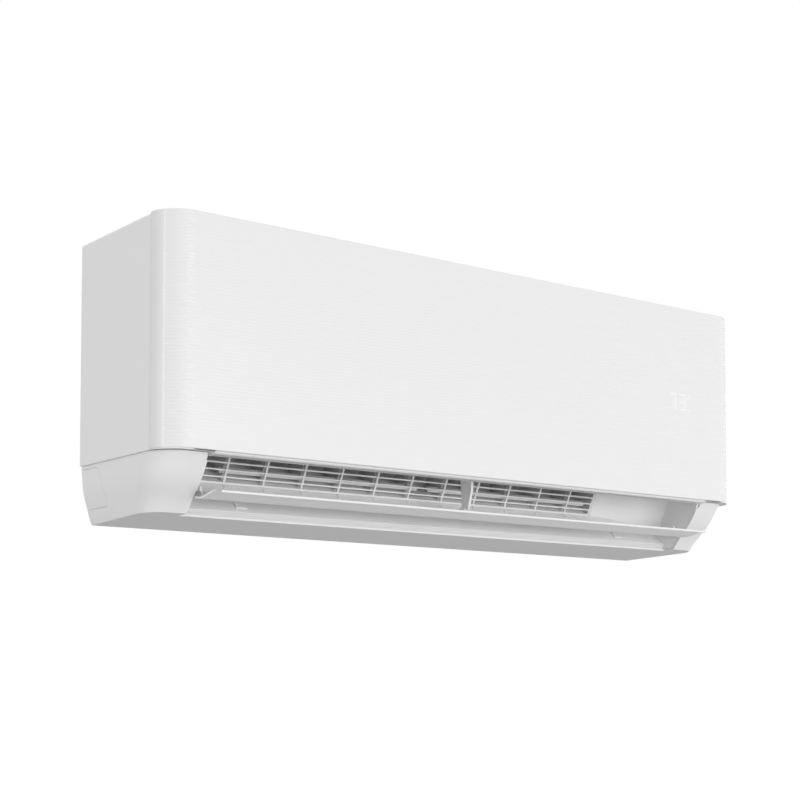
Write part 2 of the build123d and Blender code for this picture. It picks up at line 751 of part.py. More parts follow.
def louver_face(x):
    """Cross-section of the blade at rest."""
    inside = [(-166.7, up(58.2)), (-158.1, up(45.2)), (-148.6, up(32.9)), (-138.7, up(26.6)),
              (-128.9, up(20.1)), (-121.2, up(16.3)), (-113.1, up(13.6))]
    outside = opened(louver_outside)
    inner = opened(inside)
    with BuildSketch(Plane.YZ.offset(x)) as face:
        with BuildLine():
            Spline(*outside)
            Line(outside[-1], inner[-1])
            Spline(*reversed(inner))
            Line(inner[0], outside[0])
        make_face()
    return face.sketch


def louver_lug(x):
    """Lug from the blade up to the pins."""
    with BuildSketch(Plane.YZ.offset(x)) as face:
        with BuildLine():
            Polyline(*opened([(-149.5, up(33.0)), (-139.2, up(25.4)), (-129.4, up(18.9)), (-122.0, up(15.4)),
                              (louver_axis_y + 4.9, louver_axis_z + 0.8),
                              (louver_axis_y - 0.8, louver_axis_z + 4.9),
                              (louver_axis_y - 4.5, louver_axis_z + 2.0)]), close=True)
        make_face()
        with Locations((louver_axis_y, louver_axis_z)):
            Circle(louver_lug_radius)
    return face.sketch


with BuildPart() as louver:
    extrude(to_extrude=louver_face(-louver_half), amount=2 * louver_half)
    for x in (-louver_lug_x - louver_lug_wall, louver_lug_x):
        extrude(to_extrude=louver_lug(x), amount=louver_lug_wall)
    for x in (bracket_x - bracket_wall / 2 - bracket_gap - centre_lug_wall,
              bracket_x + bracket_wall / 2 + bracket_gap):
        extrude(to_extrude=louver_lug(x), amount=centre_lug_wall)
    rod_x(bracket_x - bracket_wall, bracket_x + bracket_wall, louver_axis_y, louver_axis_z,
          centre_pin_radius)
    rod_x(-mouth_half - wall - 1.5, -louver_lug_x - 1, louver_axis_y, louver_axis_z, louver_pin_radius)
    rod_x(louver_lug_x + 1, mouth_half + wall + 8, louver_axis_y, louver_axis_z, louver_pin_radius)
save(louver, "louver")

bracket_front = [
    (-144.7, up(ceiling_height(144.7, -wall / 2))),
    (-142.8, up(51)),
    (louver_axis_y - 5, louver_axis_z),
]
bracket_rear = [
    (louver_axis_y + 5, louver_axis_z),
    (-125.0, up(52)),
    (-123.0, up(ceiling_height(123.0, -wall / 2))),
]

with BuildPart() as louver_bracket:
    with BuildSketch(Plane.YZ.offset(bracket_x - bracket_wall / 2)):
        with BuildLine():
            Polyline(*bracket_front, *bracket_rear, close=True)
        make_face()
        with Locations((louver_axis_y, louver_axis_z)):
            Circle(5)
        with Locations((louver_axis_y, louver_axis_z)):
            Circle(centre_pin_radius + running_gap, mode=Mode.SUBTRACT)
    extrude(amount=bracket_wall)
    # foot against the ceiling
    extrude(to_extrude=profile(bracket_x - 7, [
        (-147.0, up(ceiling_height(147.0, -wall / 2))),
        (-147.0, up(ceiling_height(147.0, -wall / 2 - 1.8))),
        (-121.0, up(ceiling_height(121.0, -wall / 2 - 1.8))),
        (-121.0, up(ceiling_height(121.0, -wall / 2)))]), amount=14)
save(louver_bracket, "louver_bracket")

stepper_radius = 12.0
stepper_offset = 5.6
with BuildPart() as louver_motor:
    rod_x(mouth_half + wall + 1.2, mouth_half + wall + 19, louver_axis_y + stepper_offset,
          louver_axis_z + stepper_offset, stepper_radius)
    rod_x(mouth_half + wall, mouth_half + wall + 3, louver_axis_y, louver_axis_z, 5.0)
    # ears with the screws' holes
    box_between((mouth_half + wall, louver_axis_y + stepper_offset - 5, louver_axis_z + stepper_offset),
                (mouth_half + wall + 1.4, louver_axis_y + stepper_offset + 5,
                 louver_axis_z + stepper_offset + stepper_radius + 6))
    rod_x(mouth_half, mouth_half + wall + 9, louver_axis_y, louver_axis_z,
          louver_pin_radius + running_gap, mode=Mode.SUBTRACT)
save(louver_motor, "louver_motor")

# ================= vanes and their links =================
vane_front = 4.5
vane_rake = math.tan(math.radians(90 - floor_angle - guard_angle))
vane_foot = 0.3


def make_vane(x):
    """One upright vane, standing on its pin in the sloping floor."""
    half_notch = (link_high - link_low) / 2 + 0.6
    middle = (link_high + link_low) / 2
    tip = link_front + 2.3
    round_front = vane_front + vane_rake * (vane_rise - vane_round)
    with BuildPart() as vane:
        edge = [
            on_floor(vane_front + vane_rake * 1.2, 1.2),
            on_floor(vane_front + vane_rake * (middle - half_notch), middle - half_notch),
            on_floor(link_back + 1.1, middle - half_notch),
            on_floor(link_back + 1.1, middle - 1),
            on_floor(tip, middle - 1),
            on_floor(tip, middle + 1),
            on_floor(link_back + 1.1, middle + 1),
            on_floor(link_back + 1.1, middle + half_notch),
            on_floor(vane_front + vane_rake * (middle + half_notch), middle + half_notch),
            on_floor(round_front, vane_rise - vane_round),
            on_floor(round_front + vane_round * 0.13, vane_rise - vane_round * 0.5),
            on_floor(round_front + vane_round * 0.5, vane_rise - vane_round * 0.13),
            on_floor(round_front + vane_round, vane_rise),
            on_floor(vane_length - 7, vane_rise),
            on_floor(vane_length - 3, vane_rise - 3),
            on_floor(vane_length, 1.2),
        ]
        extrude(to_extrude=profile(x - vane_wall / 2, edge), amount=vane_wall)
        foot = on_floor(vane_axis_reach, vane_foot)
        with Locations(Location((x, foot[0], foot[1]), (floor_angle, 0, 0))):
            Cylinder(vane_foot_radius, 1.5, align=(Align.CENTER, Align.CENTER, Align.MIN))
        low = on_floor(vane_axis_reach, -2.2)
        with Locations(Location((x, low[0], low[1]), (floor_angle, 0, 0))):
            Cylinder(vane_pin_radius, 3, align=(Align.CENTER, Align.CENTER, Align.MIN))
    return vane


for vane in range(vane_count):
    save(make_vane(first_vane + vane * bay_pitch), "vane_" + str(vane + 1).zfill(2))

split_left = first_vane + (vane_split - 1) * bay_pitch
link_travel = 7.0
link_end = 5.0                   # of the left link, past its first vane
link_reach = 14.5                # of the left link, past its last vane
link_spans = (
    ("vane_link_left", 0, vane_split, first_vane - link_end, split_left + link_reach),
    ("vane_link_right", vane_split, vane_count, split_left + link_reach + 2 * link_travel + 2,
     duct_right - link_travel - 1.6),
)
for name, first, last, left, right in link_spans:
    with BuildPart() as vane_link:
        bar = profile(left, [on_floor(link_front, link_low), on_floor(link_back, link_low),
                             on_floor(link_back, link_high), on_floor(link_front, link_high)])
        extrude(to_extrude=bar, amount=right - left)
        for vane in range(first, last):
            x = first_vane + vane * bay_pitch
            slot = profile(x - link_slot, [
                on_floor(link_front + 2, link_low - 1),
                on_floor(link_back + 1, link_low - 1),
                on_floor(link_back + 1, link_high + 1),
                on_floor(link_front + 2, link_high + 1)])
            extrude(to_extrude=slot, amount=2 * link_slot, mode=Mode.SUBTRACT)
    save(vane_link, name)

# ================= cross-flow fan =================
hub_left = 24.0
hub_right = 26.0
ring_inner = fan_radius - 14.0
disc_wall = 2.0
disc_pitch = (fan_right - fan_left - disc_wall) / (fan_discs - 1)


def around_fan(radius, angle):
    """A (Y, Z) point around the fan's axis."""
    turn = math.radians(angle)
    return (-fan_depth + radius * math.cos(turn), up(fan_height) + radius * math.sin(turn))


with BuildPart() as fan_wheel:
    with BuildSketch(Plane.YZ.offset(fan_left)):
        with BuildLine():
            for blade in range(fan_blades):
                angle = blade * 360 / fan_blades
                ThreePointArc(around_fan(ring_inner + 1, angle), around_fan(fan_radius - 6, angle - 6),
                              around_fan(fan_radius - 0.8, angle - 18))
        trace(line_width=blade_wall)
    extrude(amount=fan_right - fan_left)
    for disc in range(fan_discs):
        with BuildSketch(Plane.YZ.offset(fan_left + disc * disc_pitch)):
            with Locations((-fan_depth, up(fan_height))):
                Circle(fan_radius)
                if 0 < disc < fan_discs - 1:
                    Circle(ring_inner, mode=Mode.SUBTRACT)
        extrude(amount=disc_wall)
    rod_x(fan_left, fan_left + hub_left, -fan_depth, up(fan_height), 9.0)
    rod_x(fan_left - 1, fan_left + hub_left - 2, -fan_depth, up(fan_height), shaft_radius,
          mode=Mode.SUBTRACT)
    rod_x(fan_right - hub_right, fan_right, -fan_depth, up(fan_height), 11.0)
    rod_x(fan_right - hub_right - 1, fan_right + 1, -fan_depth, up(fan_height), shaft_radius,
          mode=Mode.SUBTRACT)
save(fan_wheel, "fan_wheel")

bush_left = duct_left - bush_housing_depth + 1.6
with BuildPart() as fan_end_shaft:
    rod_x(bush_left + 1, fan_left + hub_left - 4, -fan_depth, up(fan_height), shaft_radius)
    chamfer(fan_end_shaft.edges().group_by(Axis.X)[0], 0.6)
save(fan_end_shaft, "fan_end_shaft")

bush_radius = 8.0
with BuildPart() as bearing_bush:
    rod_x(bush_left, bush_left + 7, -fan_depth, up(fan_height), bush_radius)
    chamfer(bearing_bush.edges(), 0.8)
    rod_x(bush_left - 1, bush_left + 8, -fan_depth, up(fan_height), shaft_radius + running_gap,
          mode=Mode.SUBTRACT)
save(bearing_bush, "bearing_bush")

with BuildPart() as bearing_rubber:
    rod_x(duct_left - bush_housing_depth, duct_left - 0.4, -fan_depth, up(fan_height),
          bush_housing_radius - running_gap)
    rod_x(bush_left - 0.1, bush_left + 7.1, -fan_depth, up(fan_height), bush_radius + running_gap,
          mode=Mode.SUBTRACT)
    rod_x(duct_left - bush_housing_depth - 1, duct_left + 1, -fan_depth, up(fan_height), bush_radius - 2.4,
          mode=Mode.SUBTRACT)
save(bearing_rubber, "bearing_rubber")

# ================= fan motor =================
with BuildPart() as fan_motor:
    rod_x(motor_left, motor_left + motor_length, -fan_depth, up(fan_height), motor_radius)
    chamfer(fan_motor.edges().filter_by(GeomType.CIRCLE), 3)
    rod_x(motor_left + 22, motor_left + 36, -fan_depth, up(fan_height), motor_radius)
    rod_x(duct_right + wall + 1, motor_left + 1, -fan_depth, up(fan_height), motor_boss_radius)
    rod_x(duct_right, motor_left + motor_length - 6, -fan_depth, up(fan_height), shaft_radius + running_gap,
          mode=Mode.SUBTRACT)
save(fan_motor, "fan_motor")

with BuildPart() as motor_shaft:
    rod_x(fan_right - hub_right + 2, motor_left + motor_length - 7, -fan_depth, up(fan_height),
          shaft_radius)
    chamfer(motor_shaft.edges().group_by(Axis.X)[0], 0.6)
save(motor_shaft, "motor_shaft")

strap_screw = strap_foot / 2
with BuildPart() as motor_clamp:
    with BuildSketch(Plane.YZ.offset(strap_left)):
        with Locations((-fan_depth, up(fan_height))):
            Circle(motor_radius + strap_wall + 0.05)
        box_low = up(cradle_high)
        with Locations((-fan_depth, (up(fan_height) + box_low) / 2)):
            Rectangle(2 * (motor_radius + strap_wall + 0.05), up(fan_height) - box_low)
        with Locations((-fan_depth, box_low)):
            Rectangle(2 * (motor_radius + strap_wall + strap_foot), strap_wall,
                      align=(Align.CENTER, Align.MIN))
        with Locations((-fan_depth, up(fan_height))):
            Circle(motor_radius + 0.05, mode=Mode.SUBTRACT)
        with Locations((-fan_depth, (up(fan_height) + box_low) / 2 - 10)):
            Rectangle(2 * (motor_radius + 0.05), up(fan_height) - box_low + 20, mode=Mode.SUBTRACT)
        with Locations((-fan_depth, box_low)):
            Rectangle(4 * motor_radius, 60, align=(Align.CENTER, Align.MAX), mode=Mode.SUBTRACT)
    extrude(amount=strap_width)
    for side in (-1, 1):
        screw_y = -fan_depth + side * (motor_radius + strap_wall + strap_screw)
        with Locations((strap_left + strap_width / 2, screw_y, box_low)):
            Cylinder(2.1, 10, mode=Mode.SUBTRACT)
save(motor_clamp, "motor_clamp")


def machine_screw(radius, length, head_radius, head_height):
    """Cross-headed screw along -Z, its head's underside at the origin."""
    with BuildPart() as screw:
        Cylinder(head_radius, head_height, align=(Align.CENTER, Align.CENTER, Align.MIN))
        fillet(screw.edges().group_by(Axis.Z)[-1], head_height * 0.4)
        Cylinder(radius, length, align=(Align.CENTER, Align.CENTER, Align.MAX))
        with Locations((0, 0, head_height)):
            Box(head_radius * 1.2, head_radius * 0.28, head_height, mode=Mode.SUBTRACT)
            Box(head_radius * 0.28, head_radius * 1.2, head_height, mode=Mode.SUBTRACT)
    return screw.part


clamp_screw = machine_screw(screw_radius, 7, 3.8, 2.4)
with BuildPart() as motor_screws:
    for side in (-1, 1):
        screw_y = -fan_depth + side * (motor_radius + strap_wall + strap_screw)
        with Locations((strap_left + strap_width / 2, screw_y, up(cradle_high) + strap_wall)):
            add(clamp_screw)
save(motor_screws, "motor_screws")

# ================= coil =================
tube_gap = 0.05
coil_banks = (
    ("coil_front_lower", (-147.5, 104.0), (-147.5, 169.0), 3),
    ("coil_front_upper", (-147.5, 178.0), (-98.0, 252.0), 4),
    ("coil_rear", (-74.0, 252.0), (-30.0, 190.0), 3),
)


def tube_places(start, end, count):
    """(Y, Z) centres of a bank's tubes, row by row, with the directions along and across."""
    length = math.dist(start, end)
    along = ((end[0] - start[0]) / length, (end[1] - start[1]) / length)
    across = (-along[1], along[0])
    rows = []
    for row in (-0.5, 0.5):
        places = []
        for tube in range(count):
            reach = length / 2 + (tube - (count - 1) / 2) * tube_pitch
            places.append((start[0] + along[0] * reach + across[0] * row * tube_row,
                           up(start[1] + along[1] * reach + across[1] * row * tube_row)))
        rows.append(places)
    return rows, along, across


for name, start, end, count in coil_banks:
    rows, along, across = tube_places(start, end, count)
    half = coil_thickness / 2
    corners = [
        (start[0] + across[0] * half, up(start[1] + across[1] * half)),
        (end[0] + across[0] * half, up(end[1] + across[1] * half)),
        (end[0] - across[0] * half, up(end[1] - across[1] * half)),
        (start[0] - across[0] * half, up(start[1] - across[1] * half)),
    ]
    with BuildPart() as bank:
        extrude(to_extrude=profile(coil_left, corners), amount=coil_right - coil_left)
        for row in rows:
            for y, z in row:
                rod_x(coil_left - 1, coil_right + 1, y, z, tube_radius + tube_gap, mode=Mode.SUBTRACT)
    save(bank, name)

plate_line = [
    (-147.5, up(102)),
    (-147.5, up(175)),
    (-97.0, up(252)),
    (-86.0, up(258)),
    (-75.0, up(252)),
    (-28.5, up(187.5)),
]
for name, x, tab in (("coil_plate_left", coil_left - plate_wall, duct_left),
                     ("coil_plate_right", coil_right, duct_right)):
    with BuildPart() as coil_plate:
        extrude(to_extrude=bent_sheet(x, plate_line, coil_thickness + 3.4), amount=plate_wall)
        # tab that rests on the chassis's support
        box_between((min(x, tab), -124, up(178)), (max(x + plate_wall, tab), -120.5, up(190)))
        for bank_name, start, end, count in coil_banks:
            for row in tube_places(start, end, count)[0]:
                for y, z in row:
                    rod_x(x - 1, x + plate_wall + 1, y, z, tube_radius + tube_gap, mode=Mode.SUBTRACT)
    save(coil_plate, name)

tube_left = coil_left - plate_wall
tube_right = coil_right + plate_wall


def return_bend(x, one, other, way):
    """Half ring that joins two tubes, bulging along X."""
    apart = math.dist(one, other)
    plane = Plane(origin=(x, (one[0] + other[0]) / 2, (one[1] + other[1]) / 2),
                  x_dir=(0, (other[0] - one[0]) / apart, (other[1] - one[1]) / apart),
                  z_dir=(0, way * (one[1] - other[1]) / apart, way * (other[0] - one[0]) / apart))
    with Locations(plane.location):
        Torus(apart / 2, tube_radius, major_angle=180, align=None)


def cross_over(x, one, other, way):
    """Tube that steps from one bank to the next, bulging along X."""
    reach = 9.0
    with BuildLine() as path:
        FilletPolyline((x, one[0], one[1]), (x + way * reach, one[0], one[1]),
                       (x + way * reach, other[0], other[1]), (x, other[0], other[1]), radius=6)
    with BuildSketch(Plane(origin=(x, one[0], one[1]), z_dir=(way, 0, 0))) as ring:
        Circle(tube_radius)
    sweep(sections=ring.sketch, path=path.line)


with BuildPart() as coil_tubes:
    last = None
    for name, start, end, count in coil_banks:
        near, far = tube_places(start, end, count)[0]
        for tube in range(count):
            rod_x(tube_left, tube_right, near[tube][0], near[tube][1], tube_radius)
            rod_x(tube_left, tube_right, far[tube][0], far[tube][1], tube_radius)
            return_bend(tube_left, near[tube], far[tube], 1)
        for tube in range(count - 1):
            return_bend(tube_right, far[tube], near[tube + 1], -1)
        if last is not None:
            cross_over(tube_right, last, near[0], 1)
        last = far[-1]
save(coil_tubes, "coil_tubes")
first_tube = tube_places(*coil_banks[0][1:])[0][0][0]
last_tube = last

# ================= pipes and drain =================
pipe_end_x = 40.0
suction_drop_x = 314.0
liquid_drop_x = 328.0
suction_run = (-16.0, up(44))
liquid_run = (-16.0, up(18))
nut_length = 18.0


def bent_pipe(points, radius, bend):
    """Solid tube swept along a rounded line."""
    with BuildPart() as pipe:
        with BuildLine() as path:
            FilletPolyline(*points, radius=bend)
        start = points[0]
        ahead = points[1]
        with BuildSketch(Plane(origin=start, z_dir=(ahead[0] - start[0], ahead[1] - start[1],
                                                   ahead[2] - start[2]))) as ring:
            Circle(radius)
        sweep(sections=ring.sketch, path=path.line)
    return pipe.part


suction_line = [
    (tube_right, last_tube[0], last_tube[1]),
    (tube_right + 18, last_tube[0], last_tube[1]),
    (tube_right + 18, -13.5, up(214)),
    (suction_drop_x, -13.5, up(214)),
    (suction_drop_x, suction_run[0], suction_run[1]),
    (pipe_end_x, suction_run[0], suction_run[1]),
]
liquid_line = [
    (tube_right, first_tube[0], first_tube[1]),
    (duct_right + wall + 5, first_tube[0], first_tube[1]),
    (duct_right + wall + 5, -134.5, up(192)),
    (liquid_drop_x, -134.5, up(192)),
    (liquid_drop_x, -13.5, up(192)),
    (liquid_drop_x, liquid_run[0], liquid_run[1]),
    (pipe_end_x, liquid_run[0], liquid_run[1]),
]
with BuildPart() as suction_pipe:
    add(bent_pipe(suction_line, suction_radius, 9))
    rod_x(pipe_end_x - 1, pipe_end_x + 40, suction_run[0], suction_run[1], suction_radius - pipe_wall,
          mode=Mode.SUBTRACT)
save(suction_pipe, "suction_pipe")

with BuildPart() as liquid_pipe:
    add(bent_pipe(liquid_line, liquid_radius, 7))
    rod_x(pipe_end_x - 1, pipe_end_x + 40, liquid_run[0], liquid_run[1], liquid_radius - pipe_wall,
          mode=Mode.SUBTRACT)
save(liquid_pipe, "liquid_pipe")

for name, run, radius, across in (("suction_flare_nut", suction_run, suction_radius, 22.0),
                                  ("liquid_flare_nut", liquid_run, liquid_radius, 17.0)):
    with BuildPart() as flare_nut:
        with BuildSketch(Plane.YZ.offset(pipe_end_x + 8)):
            with Locations(run):
                RegularPolygon(across / 2, 6, major_radius=False)
        extrude(amount=nut_length * 0.6)
        rod_x(pipe_end_x + 8 + nut_length * 0.6 - 0.1, pipe_end_x + 8 + nut_length, run[0], run[1],
              across * 0.36)
        rod_x(pipe_end_x, pipe_end_x + 60, run[0], run[1], radius + fit_gap / 2, mode=Mode.SUBTRACT)
        rod_x(pipe_end_x, pipe_end_x + 8 + nut_length * 0.45, run[0], run[1], across * 0.36,
              mode=Mode.SUBTRACT)
    save(flare_nut, name)

spout_bore = 3.6
spout_x = duct_left - wall - 14
spout_height = 34.0
spout_turn = 118.0               # depth at which the spout levels out towards the wall
spout_depth = 70.0               # of its open end
spout_line = [
    (duct_left - 0.3, -drain_depth, up(drain_height)),
    (spout_x, -drain_depth, up(drain_height)),
    (spout_x, -spout_turn, up(spout_height)),
    (spout_x, -spout_depth, up(spout_height)),
]
with BuildPart() as drain_spout:
    add(bent_pipe(spout_line, drain_radius, 9))
    rod_x(duct_left - wall - 6, duct_left - wall - 3.5, -drain_depth, up(drain_height), 7)
    add(bent_pipe(spout_line, spout_bore, 9), mode=Mode.SUBTRACT)
save(drain_spout, "drain_spout")

with BuildPart() as drain_plug:
    rod_x(duct_right - 1, duct_right + wall + 1, -drain_depth, up(drain_height), drain_radius)
    rod_x(duct_right + wall, duct_right + wall + 3, -drain_depth, up(drain_height), 7)
    rod_x(duct_right + wall + 1.5, duct_right + wall + 8, -drain_depth, up(drain_height), 3)
save(drain_plug, "drain_plug")

# ================= air filters =================
filter_rib = 1.6
filter_rim = 6.0
filter_bay = 42.0
filter_net = 0.4
filter_spans = (
    ("filter_left", top_left + fit_gap, filter_middle - filter_bar / 2 - fit_gap),
    ("filter_right", filter_middle + filter_bar / 2 + fit_gap, top_right - fit_gap),
)
for name, left, right in filter_spans:
    width = right - left
    front_rise = casing_top - filter_foot_height
    top_run = filter_front - filter_back
    bays = int(width / filter_bay)
    with BuildPart() as air_filter:
        # upright leaf in front of the coil
        box_between((left, -filter_front, up(filter_foot_height)),
                    (right, -filter_front + filter_wall, up(casing_top)))
        box_between((left + filter_rim, -filter_front - 1, up(filter_foot_height) + filter_rim),
                    (right - filter_rim, -filter_front + filter_wall + 1, up(casing_top) - filter_rim),
                    mode=Mode.SUBTRACT)
        # leaf across the top
        box_between((left, -filter_front, up(casing_top) - filter_wall),
                    (right, -filter_back, up(casing_top)))
        box_between((left + filter_rim, -filter_front + filter_rim, up(casing_top) - filter_wall - 1),
                    (right - filter_rim, -filter_back - filter_rim, up(casing_top) + 1),
                    mode=Mode.SUBTRACT)
        # net and ribs
        box_between((left + 2, -filter_front + filter_wall / 2 - filter_net / 2, up(filter_foot_height) + 2),
                    (right - 2, -filter_front + filter_wall / 2 + filter_net / 2, up(casing_top) - 2))
        box_between((left + 2, -filter_front + 2, up(casing_top) - filter_wall / 2 - filter_net / 2),
                    (right - 2, -filter_back - 2, up(casing_top) - filter_wall / 2 + filter_net / 2))
        for bay in range(1, bays):
            x = left + bay * width / bays
            box_between((x - filter_rib / 2, -filter_front + 0.4, up(filter_foot_height) + 1),
                        (x + filter_rib / 2, -filter_front + filter_wall - 0.4, up(casing_top) - 1))
            box_between((x - filter_rib / 2, -filter_front + 1, up(casing_top) - filter_wall + 0.4),
                        (x + filter_rib / 2, -filter_back - 1, up(casing_top) - 0.4))
        for rung in range(1, 4):
            z = up(filter_foot_height) + rung * front_rise / 4
            box_between((left + 1, -filter_front + 0.4, z - filter_rib / 2),
                        (right - 1, -filter_front + filter_wall - 0.4, z + filter_rib / 2))
        for rung in range(1, 3):
            y = -filter_front + rung * top_run / 3
            box_between((left + 1, y - filter_rib / 2, up(casing_top) - filter_wall + 0.4),
                        (right - 1, y + filter_rib / 2, up(casing_top) - 0.4))
    save(air_filter, name)

# ================= control box =================
box_left = 335.0
box_right = 400.0
box_front = 140.0
box_low = 100.0
box_high = 268.0
box_wall = 1.8
box_rear = rear_wall_front
lid_lap = 6.0
shelf_height = 128.0

with BuildPart() as control_box:
    box_between((box_left, -box_front, up(box_low)), (box_right, -box_rear, up(box_high)))
    box_between((box_left + box_wall, -box_front - 1, up(box_low) + box_wall),
                (box_right - box_wall, -box_rear - box_wall, up(box_high) - box_wall), mode=Mode.SUBTRACT)
    # shelf of the terminals
    box_between((box_left + box_wall / 2, -box_front + 2, up(shelf_height)),
                (box_right - box_wall / 2, -box_rear - box_wall / 2, up(shelf_height) + box_wall))
    # posts of the board
    for y in (-box_front + 22, -box_rear - 22):
        for z in (up(shelf_height) + 16, up(box_high) - 16):
            rod_x(box_left + box_wall / 2, box_left + 8, y, z, 3)
    # way in for the wires
    box_between((box_left - 1, -60, up(box_low) + 6), (box_left + box_wall + 1, -40, up(box_low) + 20),
                mode=Mode.SUBTRACT)
save(control_box, "control_box")

with BuildPart() as control_box_lid:
    box_between((box_left - box_wall - 0.2, -box_front - 0.2 - box_wall, up(box_low)),
                (box_right + box_wall + 0.2, -box_front - 0.2, up(box_high)))
    box_between((box_left - box_wall - 0.2, -box_front - 0.5, up(box_low) + 4),
                (box_left - 0.2, -box_front + lid_lap, up(box_high) - 4))
    box_between((box_right + 0.2, -box_front - 0.5, up(box_low) + 4),
                (box_right + box_wall + 0.2, -box_front + lid_lap, up(box_high) - 4))
save(control_box_lid, "control_box_lid")

board_x = box_left + 8
with BuildPart() as main_board:
    box_between((board_x, -box_front + 10, up(shelf_height) + 8),
                (board_x + board_wall, -box_rear - 10, up(box_high) - 8))
    # capacitors, relay, transformer and sockets
    rod_x(board_x + 1, board_x + 28, -38, up(250), 9)
    rod_x(board_x + 1, board_x + 24, -64, up(248), 7)
    box_between((board_x + 1, -60, up(150)), (board_x + 20, -34, up(172)))
    box_between((board_x + 1, -112, up(152)), (board_x + 34, -76, up(186)))
    box_between((board_x + 1, -106, up(232)), (board_x + 12, -82, up(244)))
    for socket in range(4):
        box_between((board_x + 1, -124, up(196 + socket * 10)), (board_x + 9, -114, up(203 + socket * 10)))
save(main_board, "main_board")

terminal_count = 4
terminal_pitch = 11.0
with BuildPart() as terminal_block:
    base_z = up(shelf_height) + box_wall
    block_x = box_left + 12
    box_between((block_x, -box_front + 6, base_z),
                (block_x + 2 + terminal_count * terminal_pitch, -box_front + 26, base_z + 4))
    for wall_place in range(terminal_count + 1):
        x = block_x + wall_place * terminal_pitch
        box_between((x, -box_front + 6, base_z + 3), (x + 2, -box_front + 26, base_z + 13))
    for terminal in range(terminal_count):
        x = block_x + 1 + (terminal + 0.5) * terminal_pitch
        with Locations((x, -box_front + 16, base_z + 3)):
            Cylinder(3, 4, align=(Align.CENTER, Align.CENTER, Align.MIN))
save(terminal_block, "terminal_block")

with BuildPart() as cable_clamp:
    box_between((block_x, -box_front + 32, base_z), (block_x + 30, -box_front + 42, base_z + 3))
    box_between((block_x, -box_front + 32, base_z + 9), (block_x + 30, -box_front + 42, base_z + 12))
    for x in (block_x, block_x + 26):
        box_between((x, -box_front + 32, base_z + 2), (x + 4, -box_front + 42, base_z + 10))
save(cable_clamp, "cable_clamp")

# ================= display =================
board_half_x = 38.0
digit_rise = 20.5
digit_width = 11.0
segment = 2.4
digit_back = board_front
digit_front = shield_depth - 0.4
with BuildPart() as display_board:
    box_between((display_x - board_half_x, -board_front, up(display_height - 24)),
                (display_x + board_half_x, -board_front + board_wall, up(display_height + 24)))
    # arm behind the button
    box_between((button_x - 10, -board_front, up(button_height - 10)),
                (button_x + 10, -board_front + board_wall, up(display_height - 20)))
    box_between((display_x + board_half_x - 4, -board_front, up(display_height - 24)),
                (button_x + 10, -board_front + board_wall, up(display_height - 10)))
    # socket, receiver and chip on the rear
    box_between((display_x - 30, -board_front + 1, up(display_height + 8)),
                (display_x - 14, -board_front + 8, up(display_height + 16)))
    box_between((display_x - 4, -board_front + 1, up(display_height - 14)),
                (display_x + 12, -board_front + 4, up(display_height - 4)))
save(display_board, "display_board")

with BuildPart() as display_digits:
    low = up(display_height - digit_rise / 2)
    high = up(display_height + digit_rise / 2)
    mid = up(display_height)
    # a seven and a three
    bars = []
    seven = display_x - 14.0
    three = display_x + 2.0
    bars.append((seven, seven + digit_width, high - segment, high))
    bars.append((seven + digit_width - segment, seven + digit_width, low, high))
    bars.append((three, three + digit_width, high - segment, high))
    bars.append((three, three + digit_width, mid - segment / 2, mid + segment / 2))
    bars.append((three, three + digit_width, low, low + segment))
    bars.append((three + digit_width - segment, three + digit_width, low, high))
    for left, right, foot, head in bars:
        box_between((left, -digit_front, foot), (right, -digit_back, head))
    box_between((display_x - 15.5, -digit_back - 1, low - 1.5), (display_x + 15.5, -digit_back, high + 1.5))
save(display_digits, "display_digits")

# ================= manual button =================
button_travel = 1.2
button_flange = -shield_depth + wall + 0.3
spring_radius = 2.9
spring_wire = 0.3
with BuildPart() as manual_button:
    with Locations(Location((button_x, -shield_depth - 0.3, up(button_height)), (-90, 0, 0))):
        Cylinder(button_radius, 4, align=(Align.CENTER, Align.CENTER, Align.MIN))
        fillet(manual_button.edges().group_by(Axis.Y)[0], 0.5)
    with Locations(Location((button_x, button_flange, up(button_height)), (-90, 0, 0))):
        Cylinder(button_radius + 2, 1.5, align=(Align.CENTER, Align.CENTER, Align.MIN))
        Cylinder(1.8, -board_front - button_travel - 0.1 - button_flange,
                 align=(Align.CENTER, Align.CENTER, Align.MIN))
save(manual_button, "manual_button")

spring_start = button_flange + 1.5 + spring_wire + 0.02
spring_length = -board_front - spring_start - spring_wire - 0.02
with BuildPart() as button_spring:
    with BuildLine() as turns:
        Helix(pitch=1.3, height=spring_length, radius=spring_radius,
              center=(button_x, spring_start, up(button_height)), direction=(0, 1, 0))
    with BuildSketch(Plane(origin=turns.line @ 0, z_dir=turns.line % 0)) as wire:
        Circle(spring_wire)
    sweep(sections=wire.sketch, path=turns.line)
save(button_spring, "button_spring")

# ================= sensors =================
with BuildPart() as coil_sensor:
    rod_x(tube_left - 9, tube_left, -120.6, up(193), 2.0)
save(coil_sensor, "coil_sensor")

with BuildPart() as room_sensor:
    with Locations((322, -shield_depth + wall + 2.2, up(226))):
        Cylinder(2.2, 10)
        Sphere(2.2)
save(room_sensor, "room_sensor")

# ================= screws that hold the casing =================
casing_screw = machine_screw(screw_radius, 12, 3.8, 1.1)
with BuildPart() as casing_screws:
    for x in screw_places:
        with Locations(Location((x, -shield_depth, up(screw_height)), (90, 0, 0))):
            add(casing_screw)
save(casing_screws, "casing_screws")
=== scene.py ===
import math

import bmesh
import bpy
from bpy.props import FloatProperty, FloatVectorProperty, IntProperty, PointerProperty
from mathutils import Matrix, Vector


